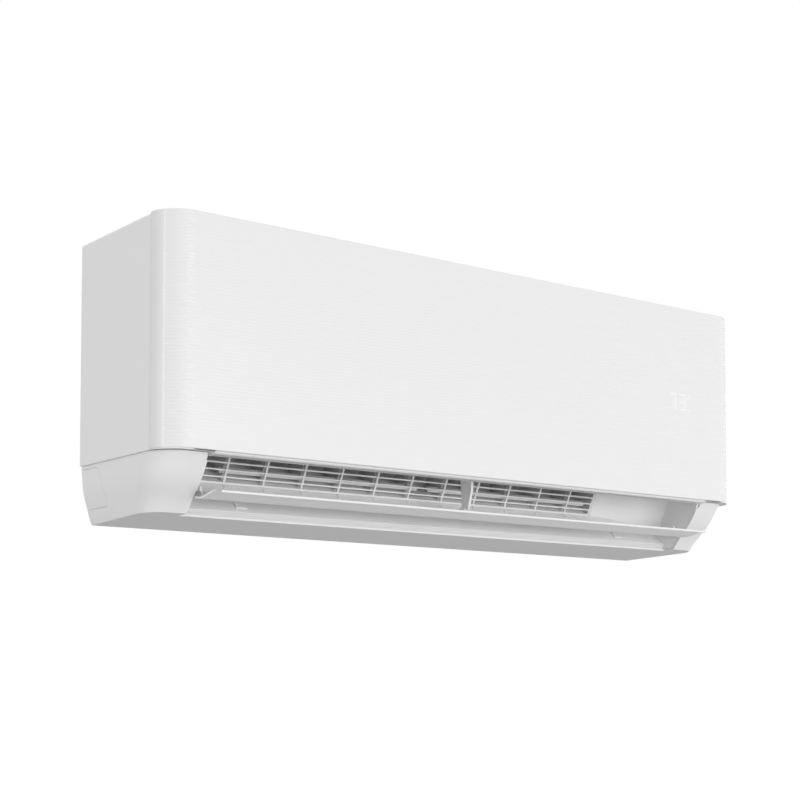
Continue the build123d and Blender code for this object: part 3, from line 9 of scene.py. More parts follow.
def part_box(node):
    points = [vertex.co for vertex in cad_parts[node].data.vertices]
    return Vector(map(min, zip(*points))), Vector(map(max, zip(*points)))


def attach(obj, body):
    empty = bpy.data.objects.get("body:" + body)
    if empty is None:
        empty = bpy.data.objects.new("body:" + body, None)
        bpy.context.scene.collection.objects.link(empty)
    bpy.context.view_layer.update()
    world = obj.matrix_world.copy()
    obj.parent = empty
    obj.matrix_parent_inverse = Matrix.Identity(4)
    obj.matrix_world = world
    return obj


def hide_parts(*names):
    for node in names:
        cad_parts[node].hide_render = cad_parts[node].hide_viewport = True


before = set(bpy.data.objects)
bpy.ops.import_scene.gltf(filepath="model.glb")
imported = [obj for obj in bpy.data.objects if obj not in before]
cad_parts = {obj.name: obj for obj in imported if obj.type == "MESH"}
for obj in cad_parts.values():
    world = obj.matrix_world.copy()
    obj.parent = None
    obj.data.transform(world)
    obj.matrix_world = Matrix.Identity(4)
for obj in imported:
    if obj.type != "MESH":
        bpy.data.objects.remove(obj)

bl_info = {
    "name": "Mini split indoor unit",
    "version": (1, 0, 0),
    "blender": (4, 5, 0),
    "location": "3D View > Sidebar > Indoor unit",
    "description": "Dresses the packed frame of a wall-hung indoor unit: ribbed panel, fins, nets and finishes",
    "category": "Object",
}

MM = 0.001
PLATE_CENTRE = 150.0                  # the origin, above the unit's underside, in mm
MOUTH_HALF = 351.8                    # half the air outlet's width, just inside its end walls, in mm
WINDOW_X = (283.5, 321.5)             # the panel's thin window in front of the display, in mm
WINDOW_HEIGHTS = (165.5, 191.5)       # and its edges above the underside
WHITE = (1.0, 1.0, 1.0, 1.0)


def up(height):
    """Height above the unit's underside as a Z value, in mm."""
    return height - PLATE_CENTRE


# ---------------------------------------------------------------- colours and shader nodes

def linear(code):
    """An sRGB hex colour as linear RGBA."""
    values = []
    for start in (1, 3, 5):
        part = int(code[start:start + 2], 16) / 255
        values.append(part / 12.92 if part <= 0.04045 else ((part + 0.055) / 1.055) ** 2.4)
    return (*values, 1.0)


def add(tree, kind, inputs=None, **settings):
    """One shader node with its settings; each input is a value or another node's output."""
    node = tree.nodes.new(kind)
    for name, value in settings.items():
        setattr(node, name, value)
    for name, value in (inputs or {}).items():
        socket = node.inputs[name]
        if isinstance(value, bpy.types.NodeSocket):
            tree.links.new(value, socket)
        else:
            socket.default_value = value
    return node


def new_material(name):
    """An empty node material, with its surface output."""
    material = bpy.data.materials.new(name)
    material.use_nodes = True
    material.node_tree.nodes.clear()
    return material, material.node_tree


def close(tree, shader):
    """Links a shader to the material's surface."""
    add(tree, "ShaderNodeOutputMaterial", {"Surface": shader})


def mottled(tree, place, colour, patch_mm, share):
    """A colour that darkens a little in soft patches of one size."""
    cloud = add(tree, "ShaderNodeTexNoise", {"Vector": place, "Scale": 1000 / patch_mm, "Detail": 2.0})
    dark = tuple(part * (1 - share) for part in colour[:3]) + (1.0,)
    return add(tree, "ShaderNodeMix", {"Factor": cloud.outputs["Fac"], "A": colour, "B": dark},
               data_type="RGBA").outputs[2]


def spread(tree, fac, low, high):
    """A noise value stretched between two numbers."""
    return add(tree, "ShaderNodeMapRange", {"Value": fac, "From Min": 0.25, "From Max": 0.75,
                                            "To Min": low, "To Max": high}).outputs["Result"]


def grained(tree, place, grain_mm, height_mm):
    """Noise of one grain size, and the bump that it raises."""
    grain = add(tree, "ShaderNodeTexNoise", {"Vector": place, "Scale": 1000 / grain_mm, "Detail": 3.0})
    bump = add(tree, "ShaderNodeBump", {"Height": grain.outputs["Fac"], "Strength": 0.5,
                                        "Distance": height_mm * MM})
    return grain.outputs["Fac"], bump.outputs["Normal"]


def moulded(name, colour, roughness, grain_mm=1.2, height_mm=0.02, share=0.02, ior=1.5):
    """Injection-moulded plastic: even colour, a spark-eroded grain and a soft sheen."""
    material, tree = new_material(name)
    place = add(tree, "ShaderNodeTexCoord").outputs["Object"]
    fac, normal = grained(tree, place, grain_mm, height_mm)
    shader = add(tree, "ShaderNodeBsdfPrincipled", {
        "Base Color": mottled(tree, place, colour, 70, share),
        "Roughness": spread(tree, fac, roughness - 0.03, roughness + 0.03),
        "IOR": ior, "Normal": normal})
    close(tree, shader.outputs["BSDF"])
    return material


def metal(name, colour, roughness, grain_mm, stretch=(1.0, 1.0, 1.0), share=0.12, height_mm=0.004):
    """Bare metal with the lines or blotches that its making leaves."""
    material, tree = new_material(name)
    place = add(tree, "ShaderNodeTexCoord").outputs["Object"]
    drawn = add(tree, "ShaderNodeMapping", {"Vector": place, "Scale": stretch}).outputs["Vector"]
    fac, normal = grained(tree, drawn, grain_mm, height_mm)
    shader = add(tree, "ShaderNodeBsdfPrincipled", {
        "Base Color": mottled(tree, place, colour, 14, share), "Metallic": 1.0,
        "Roughness": spread(tree, fac, roughness - 0.08, roughness + 0.1), "Normal": normal})
    close(tree, shader.outputs["BSDF"])
    return material


def galvanised(name, colour):
    """Hot-dip galvanised sheet: flat crystals of zinc, each a slightly different grey."""
    material, tree = new_material(name)
    place = add(tree, "ShaderNodeTexCoord").outputs["Object"]
    crystal = add(tree, "ShaderNodeTexVoronoi", {"Vector": place, "Scale": 1000 / 9.0})
    tint = add(tree, "ShaderNodeSeparateColor", {"Color": crystal.outputs["Color"]}).outputs["Red"]
    dark = tuple(part * 0.82 for part in colour[:3]) + (1.0,)
    base = add(tree, "ShaderNodeMix", {"Factor": tint, "A": colour, "B": dark}, data_type="RGBA").outputs[2]
    shader = add(tree, "ShaderNodeBsdfPrincipled", {
        "Base Color": base, "Metallic": 1.0, "Roughness": spread(tree, tint, 0.34, 0.5)})
    close(tree, shader.outputs["BSDF"])
    return material


def circuit_board(name, mask, parts, axis, edge_mm):
    """Glass-epoxy board: green solder mask with lighter tracks, and dark moulded parts that stand off it."""
    material, tree = new_material(name)
    place = add(tree, "ShaderNodeTexCoord").outputs["Object"]
    track = add(tree, "ShaderNodeTexBrick", {
        "Vector": place, "Scale": 1000 / 4.0, "Mortar Size": 0.06, "Color1": mask,
        "Color2": tuple(part * 0.8 for part in mask[:3]) + (1.0,),
        "Mortar": tuple(min(1.0, part * 1.8) for part in mask[:3]) + (1.0,)})
    away = add(tree, "ShaderNodeSeparateXYZ", {"Vector": place}).outputs[axis]
    stands = add(tree, "ShaderNodeMath", {0: away, 1: edge_mm * MM}, operation="GREATER_THAN").outputs["Value"]
    base = add(tree, "ShaderNodeMix", {"Factor": stands, "A": track.outputs["Color"], "B": parts},
               data_type="RGBA").outputs[2]
    shader = add(tree, "ShaderNodeBsdfPrincipled", {"Base Color": base, "Roughness": 0.38, "IOR": 1.52})
    close(tree, shader.outputs["BSDF"])
    return material


def seen_directly(tree):
    """1 for rays from the camera, off glossy faces and through clear ones, 0 for those that light the unit."""
    path = add(tree, "ShaderNodeLightPath")
    seen = path.outputs["Is Camera Ray"]
    for ray in ("Is Glossy Ray", "Is Transmission Ray"):
        seen = add(tree, "ShaderNodeMath", {0: seen, 1: path.outputs[ray]}, operation="MAXIMUM").outputs["Value"]
    return seen


def glowing(name, colour, strength):
    """Opal window lit from behind: it stays a shade brighter than the panel around it."""
    material, tree = new_material(name)
    place = add(tree, "ShaderNodeTexCoord").outputs["Object"]
    shader = add(tree, "ShaderNodeBsdfPrincipled", {
        "Base Color": mottled(tree, place, colour, 5, 0.02), "Roughness": 0.4, "IOR": 1.49,
        "Emission Color": WHITE, "Emission Strength": strength})
    close(tree, shader.outputs["BSDF"])
    return material


# ---------------------------------------------------------------- mesh helpers, all in mm

def finish_mesh(bm, name, material, body, smooth_deg=30.0):
    """Turns a mesh in mm into a piece in metres that rides on a body."""
    bmesh.ops.recalc_face_normals(bm, faces=bm.faces[:])
    bm.transform(Matrix.Scale(MM, 4))
    data = bpy.data.meshes.new(name)
    bm.to_mesh(data)
    bm.free()
    if smooth_deg:
        data.shade_smooth()
        data.set_sharp_from_angle(angle=math.radians(smooth_deg))
    piece = bpy.data.objects.new(name, data)
    bpy.context.scene.collection.objects.link(piece)
    data.materials.append(material)
    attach(piece, body)
    return piece


def add_block(bm, low, high):
    """A closed block between two corners."""
    corners = [bm.verts.new((x, y, z)) for x in (low[0], high[0]) for y in (low[1], high[1])
               for z in (low[2], high[2])]
    for face in ((0, 1, 3, 2), (4, 6, 7, 5), (0, 4, 5, 1), (2, 3, 7, 6), (0, 2, 6, 4), (1, 5, 7, 3)):
        bm.faces.new([corners[i] for i in face])


def add_prism(bm, outline, left, right):
    """A closed (Y, Z) outline carried along X."""
    near = [bm.verts.new((left, y, z)) for y, z in outline]
    far = [bm.verts.new((right, y, z)) for y, z in outline]
    bm.faces.new(near)
    bm.faces.new(reversed(far))
    for i in range(len(outline)):
        j = (i + 1) % len(outline)
        bm.faces.new((near[i], far[i], far[j], near[j]))


def ring_points(y, z, radius, count, start=0.0, sweep=360.0):
    """(Y, Z) points on an arc."""
    return [(y + radius * math.cos(math.radians(start + sweep * i / count)),
             z + radius * math.sin(math.radians(start + sweep * i / count))) for i in range(count)]


def dress(material, *nodes):
    """Gives CAD nodes a material in every slot."""
    for node in nodes:
        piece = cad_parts[node]
        for slot in piece.material_slots:
            slot.material = material


# ---------------------------------------------------------------- what a user would change

def length_setting(name, description, size_mm):
    """A length, given in mm and kept in metres."""
    return FloatProperty(name=name, description=description, default=size_mm * MM, unit="LENGTH")


def colour_setting(name, description, code):
    """A colour, given as sRGB hex and kept as linear RGBA."""
    return FloatVectorProperty(name=name, description=description, subtype="COLOR", size=4, default=linear(code),
                               min=0, max=1)


class UnitPanelSizes(bpy.types.PropertyGroup):
    """Sizes of the ribbed front panel."""
    width: length_setting("Width", "Across the panel", 818)
    depth: length_setting("Depth", "From the wall to the panel's face", 183.3)
    foot: length_setting("Foot", "The panel's lower edge, above the underside", 61.8)
    top: length_setting("Top", "The panel's upper edge, above the underside", 297)
    corner: length_setting("Corner radius", "Radius of the front corners in plan", 32.5)
    wall: length_setting("Wall", "Moulded wall of the panel", 2.2)
    side_depth: length_setting("Side depth", "How far from the wall the side wraps end", 151.3)
    ribs: IntProperty(name="Ribs", description="Fine level ribs up the panel", default=68, min=1)
    rib_depth: length_setting("Rib depth", "From a rib's crest to the groove beside it", 0.3)
    rib_start: FloatProperty(name="Rib start", description="Where the ribs start round each corner",
                             default=math.radians(32.5), subtype="ANGLE")
    rib_bed: length_setting("Rib bed", "How far the ribbed field lies below the plain side wraps", 0.6)


class UnitCoilSizes(bpy.types.PropertyGroup):
    """Sizes of the coil's fins and of the filters' nets."""
    fin_pitch: length_setting("Fin pitch", "From one fin to the next", 2.0)
    fin_wall: length_setting("Fin wall", "Thickness of a fin", 0.2)
    net_pitch: length_setting("Net pitch", "From one thread of the nets to the next", 2.6)
    net_thread: length_setting("Net thread", "Thickness of a thread", 0.45)


class UnitColours(bpy.types.PropertyGroup):
    """Colours of the mouldings."""
    panel: colour_setting("Panel", "Front panel", "#EBEBEB")
    casing: colour_setting("Casing", "Upper and lower casing", "#F2F2F2")
    louver: colour_setting("Louver", "Louver blade", "#F2F2F2")
    duct: colour_setting("Duct", "Air outlet and guard", "#F6F6F6")
    chassis: colour_setting("Chassis", "Rear wall and fan scroll", "#F0F0F0")
    # the vanes' grey is partly painted shade of the outlet's hollow
    vane: colour_setting("Vanes", "Upright vanes behind the guard", "#DADADA")
    # the fan's grey is partly painted shade behind the guard
    fan: colour_setting("Fan", "Cross-flow fan wheel", "#B2B2B2")


class UnitStageLight(bpy.types.PropertyGroup):
    """Powers of the studio's lamps."""
    key: FloatProperty(name="Key lamp", description="Large lamp in front", default=102.0, unit="POWER")
    fill: FloatProperty(name="Fill lamp", description="Large lamp on the left, and a weaker one on the right",
                        default=50.0, unit="POWER")
    sky: FloatProperty(name="Room light", description="Even light from all round", default=0.6)


# ---------------------------------------------------------------- pieces

class OBJECT_OT_unit_stage(bpy.types.Operator):
    """Camera at the photograph's viewing angle, pale floor, soft lamps and a white surround"""
    bl_idname = "object.unit_stage"
    bl_label = "Stage and camera"

    def execute(self, context):
        scene = context.scene
        light = scene.unit_light
        scene.view_settings.view_transform = "Standard"

        # the camera's place, direction and lens come from the lines of the photograph's perspective
        lens = bpy.data.cameras.new("camera")
        lens.lens = 72.981
        lens.sensor_width = 36.0
        lens.shift_y = 0.24587
        lens.clip_end = 60.0
        camera = bpy.data.objects.new("camera", lens)
        camera.location = (-1.161275, -1.552065, -0.320175)
        camera.rotation_euler = (math.radians(93.2), 0.0, math.radians(-37.0945))
        scene.collection.objects.link(camera)
        scene.camera = camera

        self.floor(scene)
        self.surround(scene, light)
        self.lamp(scene, "key_lamp", light.key, (2.8, 1.8), (0.8, -4.5, -0.45), (0.0, -0.1, 0.0))
        self.lamp(scene, "left_lamp", light.fill, (1.8, 1.8), (-4.45, -0.9, 0.1), (-0.1, -0.1, 0.0))
        right_share = 0.3  # of the left lamp's power
        self.lamp(scene, "right_lamp", light.fill * right_share, (1.8, 1.8), (4.3, -1.4, 0.1), (0.1, -0.1, 0.0))
        return {"FINISHED"}

    def lamp(self, scene, name, power, size, place, aim):
        """A soft box that the camera doesn't see."""
        data = bpy.data.lights.new(name, "AREA")
        data.energy = power
        data.shape = "RECTANGLE"
        data.size, data.size_y = size
        lamp = bpy.data.objects.new(name, data)
        lamp.location = place
        lamp.rotation_euler = (Vector(aim) - Vector(place)).to_track_quat("-Z", "Y").to_euler()
        lamp.visible_camera = False
        scene.collection.objects.link(lamp)

    def floor(self, scene):
        """Painted studio floor: matt, pale, lifted to white where it isn't in shade."""
        half, level, lift = 50.0, -1.7, 0.9
        corners = [(-half, -half, level), (half, -half, level), (half, half, level), (-half, half, level)]
        data = bpy.data.meshes.new("studio_floor")
        data.from_pydata(corners, [], [(0, 1, 2, 3)])
        floor = bpy.data.objects.new("studio_floor", data)
        scene.collection.objects.link(floor)
        material, tree = new_material("matt painted floor")
        place = add(tree, "ShaderNodeTexCoord").outputs["Object"]
        paint = add(tree, "ShaderNodeBsdfPrincipled", {
            "Base Color": mottled(tree, place, linear("#969696"), 400, 0.02), "Roughness": 0.8})
        lifted = add(tree, "ShaderNodeMath", {0: seen_directly(tree), 1: lift}, operation="MULTIPLY")
        glow = add(tree, "ShaderNodeEmission", {"Color": WHITE, "Strength": lifted.outputs["Value"]})
        both = add(tree, "ShaderNodeAddShader", {0: paint.outputs["BSDF"], 1: glow.outputs["Emission"]})
        close(tree, both.outputs["Shader"])
        data.materials.append(material)

    def surround(self, scene, light):
        """White for the camera and in reflections, and a softer grey that lights the unit."""
        world = bpy.data.worlds.new("white_surround")
        world.use_nodes = True
        tree = world.node_tree
        tree.nodes.clear()
        soft = add(tree, "ShaderNodeBackground", {"Color": WHITE, "Strength": light.sky})
        white = add(tree, "ShaderNodeBackground", {"Color": WHITE, "Strength": 1.0})
        mixed = add(tree, "ShaderNodeMixShader", {0: seen_directly(tree), 1: soft.outputs["Background"],
                                                  2: white.outputs["Background"]})
        add(tree, "ShaderNodeOutputWorld", {"Surface": mixed.outputs["Shader"]})
        scene.world = world


class OBJECT_OT_unit_panel(bpy.types.Operator):
    """Front panel with its fine level ribs, wrapped round both front corners"""
    bl_idname = "object.unit_panel"
    bl_label = "Ribbed front panel"

    def execute(self, context):
        sizes = context.scene.unit_panel
        # high-impact styrene or ABS, moulded in white: satin, so the ribs only show where light grazes
        white = moulded("moulded ABS, satin white", tuple(context.scene.unit_colours.panel), 0.42,
                        height_mm=0.012, share=0.008)
        bm = bmesh.new()
        self.shell(bm, sizes)
        self.lugs(bm)
        panel = finish_mesh(bm, "ribbed_panel", white, "panel", 40.0)
        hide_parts("front_panel")
        return {"FINISHED"}

    def columns(self, sizes, inset, rim):
        """(place, outward direction, shares of the bed and the ribs, end inset) along the panel's plan."""
        steps = 26
        # the ribs rise out of the plain side wraps over a few degrees, and grow shallower towards the flat front
        ramp, ramp_steps = math.radians(2.8), 6
        fade_start, fade_reach, fade_share = math.radians(82), math.radians(8), 0.7
        front_ribs = 0.3
        half = sizes.width / MM / 2
        depth = sizes.depth / MM
        corner = sizes.corner / MM
        flat = half - corner
        radius = corner - inset
        start = math.asin((sizes.side_depth / MM - (depth - corner)) / radius)
        angles = [start + reach / radius for reach in (0.0, 0.05, rim)]
        angles += [angles[-1] + (math.pi / 2 - angles[-1]) * i / steps for i in range(1, steps + 1)]
        angles = sorted(angles + [sizes.rib_start + ramp * i / ramp_steps for i in range(ramp_steps + 1)])
        side = []
        for angle in angles:
            turn = min(1.0, max(0.0, (angle - sizes.rib_start) / ramp))
            share = turn * turn * (3 - 2 * turn)
            fade = min(1.0, max(0.0, (angle - fade_start) / fade_reach))
            edge = self.rounding((angle - start) * radius, rim)
            side.append((math.cos(angle), math.sin(angle), (share, share * (1 - fade_share * fade)), edge))
        row = []
        for out, ahead, share, edge in side:
            row.append((-flat - radius * out, -(depth - corner) - radius * ahead, (-out, -ahead), share, edge))
        for x in (-250.0, -120.0, 0.0, 120.0, 220.0, *WINDOW_X, 350.0):
            row.append((x, -depth + inset, (0.0, -1.0), (1.0, front_ribs), 0.0))
        for out, ahead, share, edge in reversed(side):
            row.append((flat + radius * out, -(depth - corner) - radius * ahead, (out, -ahead), share, edge))
        return row

    def rounding(self, reach, radius):
        """How far a rounded edge lies inside, at a distance from the edge."""
        return radius - math.sqrt(max(0.0, radius ** 2 - (radius - min(reach, radius)) ** 2))

    def shell(self, bm, sizes):
        """Closed wall of the panel: ribbed outside, plain inside, thin in front of the display."""
        rim, foot_rim, end_rim = 0.4, 1.5, 0.15
        margin, steps = 1.6, 8  # plain strip at the foot and the top, and levels to each rib
        skin = 0.02             # how far the face stays inside the frame's box
        window_wall = 1.0
        foot = up(sizes.foot / MM)
        top = up(sizes.top / MM)
        rib_depth = sizes.rib_depth / MM
        bed = sizes.rib_bed / MM
        pitch = (top - foot - 2 * margin) / sizes.ribs
        levels = [(foot + rise, 0.0) for rise in (0.0, 0.1, 0.3, 0.6, 1.0, foot_rim)]
        for rib in range(sizes.ribs):
            for step in range(steps):
                sink = 0.5 - 0.5 * math.cos(2 * math.pi * step / steps)
                levels.append((foot + margin + (rib + step / steps) * pitch, sink * rib_depth))
        levels.append((top - margin, 0.0))
        levels += [(top - drop, 0.0) for drop in (rim, 0.25, 0.08, 0.0)]
        outside = []
        places = self.columns(sizes, skin, end_rim)
        for z, sink in levels:
            edge = self.rounding(z - foot, foot_rim) + self.rounding(top - z, rim)
            row = []
            for x, y, out, (bed_share, rib_share), end in places:
                inset = max(edge, end) + bed * bed_share + sink * rib_share
                row.append(bm.verts.new((x - out[0] * inset, y - out[1] * inset, z)))
            outside.append(row)
        # inside: plain, with a bevel under the top edge that clears the filters when the panel is open
        inner_places = self.columns(sizes, sizes.wall / MM, end_rim)
        inner_levels = [(foot, 0.0), *((up(height), 0.0) for height in WINDOW_HEIGHTS), (top - 1.5, 0.0),
                        (top - 0.5, 1.0)]
        inside = [[bm.verts.new((x + out[0] * lean, y + out[1] * lean, z))
                   for x, y, out, share, end in inner_places] for z, lean in inner_levels]
        count = len(places)
        for row in range(len(levels) - 1):
            for i in range(count - 1):
                bm.faces.new((outside[row][i], outside[row][i + 1], outside[row + 1][i + 1],
                              outside[row + 1][i]))
        left = next(i for i, place in enumerate(inner_places) if abs(place[0] - WINDOW_X[0]) < 0.01)
        for row in range(len(inner_levels) - 1):
            for i in range(count - 1):
                if row == 1 and i == left:
                    continue
                bm.faces.new((inside[row][i + 1], inside[row][i], inside[row + 1][i], inside[row + 1][i + 1]))
        mouth = [inside[1][left], inside[1][left + 1], inside[2][left + 1], inside[2][left]]
        thin = [bm.verts.new((v.co.x, -sizes.depth / MM + window_wall, v.co.z)) for v in mouth]
        bm.faces.new(thin)
        for i in range(4):
            j = (i + 1) % 4
            bm.faces.new((mouth[i], mouth[j], thin[j], thin[i]))
        for outer, inner in ((outside[0], inside[0]), (outside[-1], inside[-1])):
            for i in range(count - 1):
                bm.faces.new((outer[i], outer[i + 1], inner[i + 1], inner[i]))
        for i in (0, count - 1):
            bm.faces.new([row[i] for row in outside] + [row[i] for row in reversed(inside)])

    def lugs(self, bm):
        """Hinge lugs and pins behind the panel's top edge."""
        axis = (-176.5, up(293.5))
        lug_radius, pin_radius = 2.4, 1.3
        root = -182.0  # within the panel's wall
        for side in (-1, 1):
            near, far, end = side * 367.5, side * 371.7, side * 376.7
            outline = [(root, axis[1] - lug_radius), *ring_points(*axis, lug_radius, 10, -90.0, 200.0),
                       (root, axis[1] + lug_radius)]
            add_prism(bm, outline, min(near, far), max(near, far))
            add_prism(bm, ring_points(*axis, pin_radius, 16), min(far, end), max(far, end))


class OBJECT_OT_unit_display(bpy.types.Operator):
    """Two faint digits that shine through the panel, with the board's light guide behind them"""
    bl_idname = "object.unit_display"
    bl_label = "Display"

    def execute(self, context):
        # opal light guide: frosted acrylic, a shade brighter than the panel
        glow = glowing("opal acrylic, lit", linear("#F4F4F4"), strength=0.004)
        bm = bmesh.new()
        front, back = -182.74, -182.5
        low, high, mid = up(169.6), up(190.0), up(179.8)
        bar = 2.3
        # a seven, a three and the short mark under the ring
        marks = [
            (288.6, 299.0, high - bar, high), (296.7, 299.0, low, high - bar),
            (304.4, 313.2, high - bar, high), (305.6, 313.2, mid - bar / 2, mid + bar / 2),
            (304.4, 313.2, low, low + bar), (313.2, 315.5, low, high),
            (319.4, 322.2, up(170.4), up(172.2)),
        ]
        for left, right, foot, head in marks:
            add_block(bm, (left, front, foot), (right, back, head))
        self.ring(bm, 321.0, up(187.2), 2.7, 1.2, front, back)
        finish_mesh(bm, "display_window", glow, "panel", 0.0)
        dress(glow, "display_digits")
        return {"FINISHED"}

    def ring(self, bm, x, z, outer, inner, front, back):
        """Small flat ring beside the digits."""
        count = 20
        turns = [2 * math.pi * i / count for i in range(count)]
        rows = [[bm.verts.new((x + radius * math.cos(turn), y, z + radius * math.sin(turn))) for turn in turns]
                for radius, y in ((outer, front), (outer, back), (inner, back), (inner, front))]
        for row in range(4):
            for i in range(count):
                j = (i + 1) % count
                bm.faces.new((rows[row][i], rows[row][j], rows[(row + 1) % 4][j], rows[(row + 1) % 4][i]))


class OBJECT_OT_unit_casing(bpy.types.Operator):
    """Finish of the upper casing, the lower casing and the knock-out covers"""
    bl_idname = "object.unit_casing"
    bl_label = "Casings"

    def execute(self, context):
        colours = context.scene.unit_colours
        # ABS out of a finely spark-eroded mould: near-white with a soft, broad sheen
        white = moulded("moulded ABS, fine grain", tuple(colours.casing), 0.6, height_mm=0.015, share=0.01)
        dress(white, "front_casing", "lower_casing", "pipe_cover_left", "pipe_cover_right")
        self.seam(white)
        # zinc-plated steel: bright and slightly blue, turned under the head
        zinc = metal("zinc-plated steel", linear("#C9CCD0"), 0.32, 1.0)
        dress(zinc, "casing_screws", "motor_screws", "button_spring")
        return {"FINISHED"}

    def seam(self, plastic):
        """Bottom of the shallow groove between the upper and the lower casing, at both ends."""
        half, depth, corner = 408.85, 183.15, 32.35  # 0.15 inside the casings' outline in plan
        foot, head = up(61.0), up(61.75)
        flat, turn = half - corner, depth - corner
        path = [(half, -1.0), (half, -turn)]
        path += [(flat + corner * math.cos(math.radians(a)), -turn - corner * math.sin(math.radians(a)))
                 for a in range(6, 91, 6)]
        path += [(353.0, -depth)]
        bm = bmesh.new()
        for side in (-1, 1):
            rows = []
            for z in (foot, head):
                for shift in (0.0, 1.0):
                    rows.append([bm.verts.new((side * (x - shift * (x - flat) / corner), y, z)) for x, y in path])
            for i in range(len(path) - 1):
                for a, b in ((0, 1), (1, 3), (3, 2), (2, 0)):
                    bm.faces.new((rows[a][i], rows[a][i + 1], rows[b][i + 1], rows[b][i]))
            for i in (0, len(path) - 1):
                bm.faces.new((rows[0][i], rows[1][i], rows[3][i], rows[2][i]))
        finish_mesh(bm, "seam_groove", plastic, "unit", 40.0)


class OBJECT_OT_unit_outlet(bpy.types.Operator):
    """Finish of the air outlet: duct, guard, louver, vanes, links and fan"""
    bl_idname = "object.unit_outlet"
    bl_label = "Air outlet"

    def execute(self, context):
        colours = context.scene.unit_colours
        # polished high-impact polystyrene inside the outlet: white, with broad soft reflections
        duct = moulded("moulded polystyrene, polished", tuple(colours.duct), 0.34, height_mm=0.01, share=0.02,
                       ior=1.59)
        dress(duct, "outlet_duct", "outlet_guard", "vane_link_left", "vane_link_right", "louver_bracket")
        # the louver has the casing's white with a smoother face, so its edge catches a sharper light
        blade = moulded("moulded ABS, smooth", tuple(colours.louver), 0.38, height_mm=0.01, share=0.008)
        dress(blade, "louver")
        self.louver_edge(blade)
        # the sill and the lip under the panel are strips of the same plastic, a shade greyer
        strip = moulded("moulded polystyrene, strip", linear("#E2E2E2"), 0.5, height_mm=0.01)
        self.lip(strip)
        self.nose_roll(strip)
        self.post_feet(duct)
        # foam pads: white and quite matt, so they show on the polished floor
        self.floor_pads(moulded("polyethylene pad, fine foam", linear("#FBFBFB"), 0.7, grain_mm=1.0,
                                height_mm=0.2, share=0.04))
        # polypropylene vanes: waxy pale grey, greyed further than the duct as painted shade of the outlet's
        # hollow, so that they stand out against it
        vane = moulded("moulded polypropylene, grey with painted shade", tuple(colours.vane), 0.5, height_mm=0.02, share=0.06)
        dress(vane, *["vane_" + str(number).zfill(2) for number in range(1, 12)])
        # glass-filled fan plastic, fibrous and dull: a grey wheel, darkened further as painted shade, the darkest
        # thing behind the guard
        wheel = moulded("glass-filled styrene, grey with painted shade", tuple(colours.fan), 0.55, grain_mm=0.8,
                        height_mm=0.04, share=0.15)
        dress(wheel, "fan_wheel")
        return {"FINISHED"}

    def louver_edge(self, plastic):
        """Rounded bead along the louver's front edge, which catches the light."""
        centre, radius = (-180.18, up(22.61)), 1.45
        bm = bmesh.new()
        add_prism(bm, ring_points(*centre, radius, 16), -344.0, 350.0)
        finish_mesh(bm, "louver_edge", plastic, "louver", 60.0)

    def nose_roll(self, plastic):
        """Rounded lip of the outlet's ceiling under the panel, which leaves room for the closed louver's bead."""
        centre, radius = (-178.0, up(61.55)), 3.0
        bm = bmesh.new()
        outline = [(-173.2, centre[1]), *ring_points(*centre, radius, 9, 180.0, 90.0),
                   (centre[0], centre[1] - radius), (-174.0, up(58.6)), (-173.2, up(59.6))]
        add_prism(bm, outline, -MOUTH_HALF, MOUTH_HALF)
        finish_mesh(bm, "nose_roll", plastic, "unit", 60.0)

    def lip(self, plastic):
        """Rounded sill that closes the slit between the outlet's floor and the lower casing."""
        bm = bmesh.new()
        outline = [(-107.0, up(5.6)), (-109.2, up(5.6)), (-109.8, up(7.7)), (-109.15, up(8.0)),
                   (-109.5, up(8.3)), (-109.95, up(10.6)), (-109.6, up(11.2)), (-109.05, up(11.3)),
                   (-108.6, up(10.9)), (-107.0, up(9.0))]
        add_prism(bm, outline, -MOUTH_HALF, MOUTH_HALF)
        finish_mesh(bm, "outlet_sill", plastic, "unit", 50.0)

    def on_floor(self, points):
        """(Y, Z) points from (distance along, rise over) the outlet's 45 degree floor, at the guard's foot."""
        foot, slope = (-75.5, up(45.5)), math.sqrt(0.5)
        return [(foot[0] + (along - rise) * slope, foot[1] + (along + rise) * slope) for along, rise in points]

    def floor_pads(self, foam):
        """Two small pale pads on the outlet's floor, in front of the guard."""
        half = 6.5
        outline = self.on_floor(((-42.0, 0.4), (-41.2, 1.6), (-28.0, 1.6), (-27.2, 0.4)))
        bm = bmesh.new()
        for x in (-275.0, 275.0):
            add_prism(bm, outline, x - half, x + half)
        finish_mesh(bm, "floor_pads", foam, "unit", 30.0)

    def post_feet(self, plastic):
        """Low ribs that carry the guard's posts on over the outlet's floor."""
        posts, first, pitch, half = 11, -280.8, 48.9, 0.8
        outline = self.on_floor(((-9.0, -0.1), (-8.4, 0.9), (-0.4, 1.4), (-0.4, -0.1)))
        bm = bmesh.new()
        for post in range(posts):
            x = first + post * pitch
            add_prism(bm, outline, x - half, x + half)
        finish_mesh(bm, "post_feet", plastic, "unit", 30.0)


